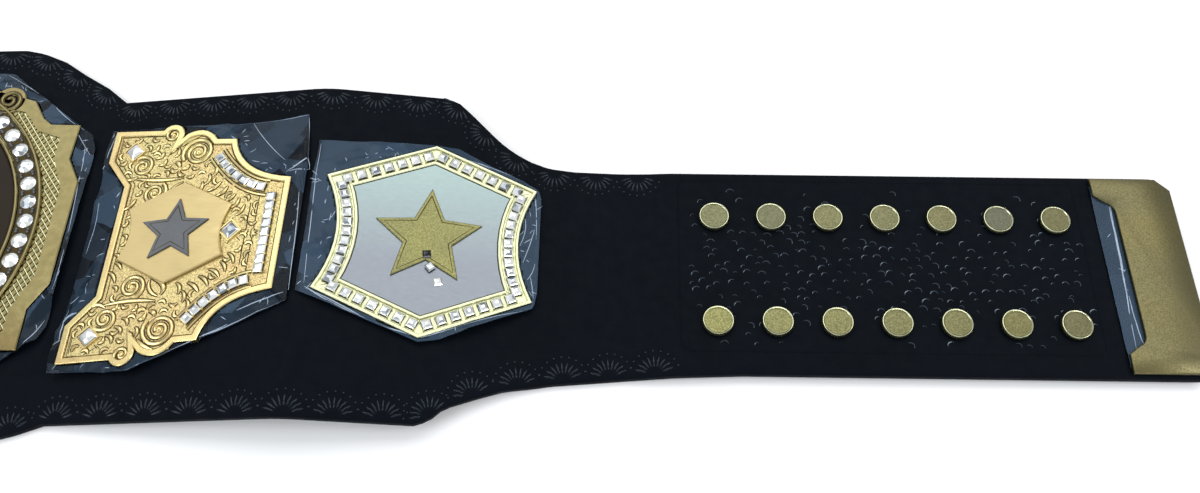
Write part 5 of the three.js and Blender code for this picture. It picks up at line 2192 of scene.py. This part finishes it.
def studio():
    s = belt().stage
    floor = primitive(bpy.ops.mesh.primitive_plane_add, size=s.floor_size)
    floor.name = "studio_floor"
    coated(floor, painted_floor)
    camera = primitive(bpy.ops.object.camera_add, location=s.camera_at, rotation=s.camera_turn)
    camera.data.lens = s.lens
    camera.data.sensor_width = 36
    bpy.context.scene.camera = camera
    for row in SOFT_BOXES:
        soft_box(*row)
    world = bpy.data.worlds.new("studio_air")
    world.use_nodes = True
    background = world.node_tree.nodes["Background"]
    background.inputs["Color"].default_value = opaque(linear(AIR_COLOUR))
    background.inputs["Strength"].default_value = AIR_STRENGTH
    bpy.context.scene.world = world
    bpy.context.scene.view_settings.view_transform = "Standard"


# Operators: one for each piece or group of like pieces, and one for the stage


class BELT_OT_leather(bpy.types.Operator):
    """Make the leather with its stamped fans and strap panels"""

    bl_idname = "title_belt.leather"
    bl_label = "Leather"

    def execute(self, context):
        leather_body()
        leather_fans()
        leather_panel()
        return {"FINISHED"}


class BELT_OT_main_plate(bpy.types.Operator):
    """Make the main plate, its ring of stones and its disc"""

    bl_idname = "title_belt.main_plate"
    bl_label = "Main plate"

    def execute(self, context):
        main_plate()
        main_stones()
        main_disc()
        return {"FINISHED"}


class BELT_OT_inner_plates(bpy.types.Operator):
    """Make the two inner plates with their shields, stars and stones"""

    bl_idname = "title_belt.inner_plates"
    bl_label = "Inner plates"

    def execute(self, context):
        inner_plate()
        inner_shield()
        inner_star()
        inner_stones()
        return {"FINISHED"}


class BELT_OT_outer_plates(bpy.types.Operator):
    """Make the two outer plates with their panels, stars and stones"""

    bl_idname = "title_belt.outer_plates"
    bl_label = "Outer plates"

    def execute(self, context):
        outer_frame()
        outer_panel()
        outer_star()
        outer_stones()
        loose_stones()
        return {"FINISHED"}


class BELT_OT_press_studs(bpy.types.Operator):
    """Make the press studs of both strap ends"""

    bl_idname = "title_belt.press_studs"
    bl_label = "Press studs"

    def execute(self, context):
        press_studs()
        return {"FINISHED"}


class BELT_OT_tip_plates(bpy.types.Operator):
    """Make the plates on the strap's two tips"""

    bl_idname = "title_belt.tip_plates"
    bl_label = "Tip plates"

    def execute(self, context):
        tip_plate()
        return {"FINISHED"}


class BELT_OT_films(bpy.types.Operator):
    """Make the clear film round the plates"""

    bl_idname = "title_belt.films"
    bl_label = "Film"

    def execute(self, context):
        films()
        return {"FINISHED"}


class BELT_OT_stage(bpy.types.Operator):
    """Make the floor, the lights and the camera"""

    bl_idname = "title_belt.stage"
    bl_label = "Stage"

    def execute(self, context):
        studio()
        return {"FINISHED"}


OPERATORS = (
    BELT_OT_leather, BELT_OT_main_plate, BELT_OT_inner_plates, BELT_OT_outer_plates,
    BELT_OT_press_studs, BELT_OT_tip_plates, BELT_OT_films, BELT_OT_stage,
)


class BELT_PT_panel(bpy.types.Panel):
    bl_label = "Title Belt"
    bl_idname = "BELT_PT_panel"
    bl_space_type = "VIEW_3D"
    bl_region_type = "UI"
    bl_category = "Title Belt"

    def draw(self, context):
        for kind in OPERATORS:
            self.layout.operator(kind.bl_idname)
        for group in TitleBelt.__annotations__:
            sizes = getattr(context.scene.title_belt, group)
            box = self.layout.box()
            box.label(text=group.title())
            for name in sizes.__annotations__:
                box.prop(sizes, name)


GROUPS = (
    LeatherSizes, MainPlateSizes, InnerPlateSizes, OuterPlateSizes, StoneSizes, StudSizes, TipSizes,
    FilmSizes, Colours, StageSizes, TitleBelt,
)


def register():
    for kind in (*GROUPS, *OPERATORS, BELT_PT_panel):
        bpy.utils.register_class(kind)
    bpy.types.Scene.title_belt = bpy.props.PointerProperty(type=TitleBelt)


def unregister():
    del bpy.types.Scene.title_belt
    for kind in reversed((*GROUPS, *OPERATORS, BELT_PT_panel)):
        bpy.utils.unregister_class(kind)


def main():
    register()
    bpy.ops.title_belt.stage()
    bpy.ops.title_belt.leather()
    bpy.ops.title_belt.main_plate()
    bpy.ops.title_belt.inner_plates()
    bpy.ops.title_belt.outer_plates()
    bpy.ops.title_belt.press_studs()
    bpy.ops.title_belt.tip_plates()
    bpy.ops.title_belt.films()
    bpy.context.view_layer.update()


if __name__ == "__main__":
    main()
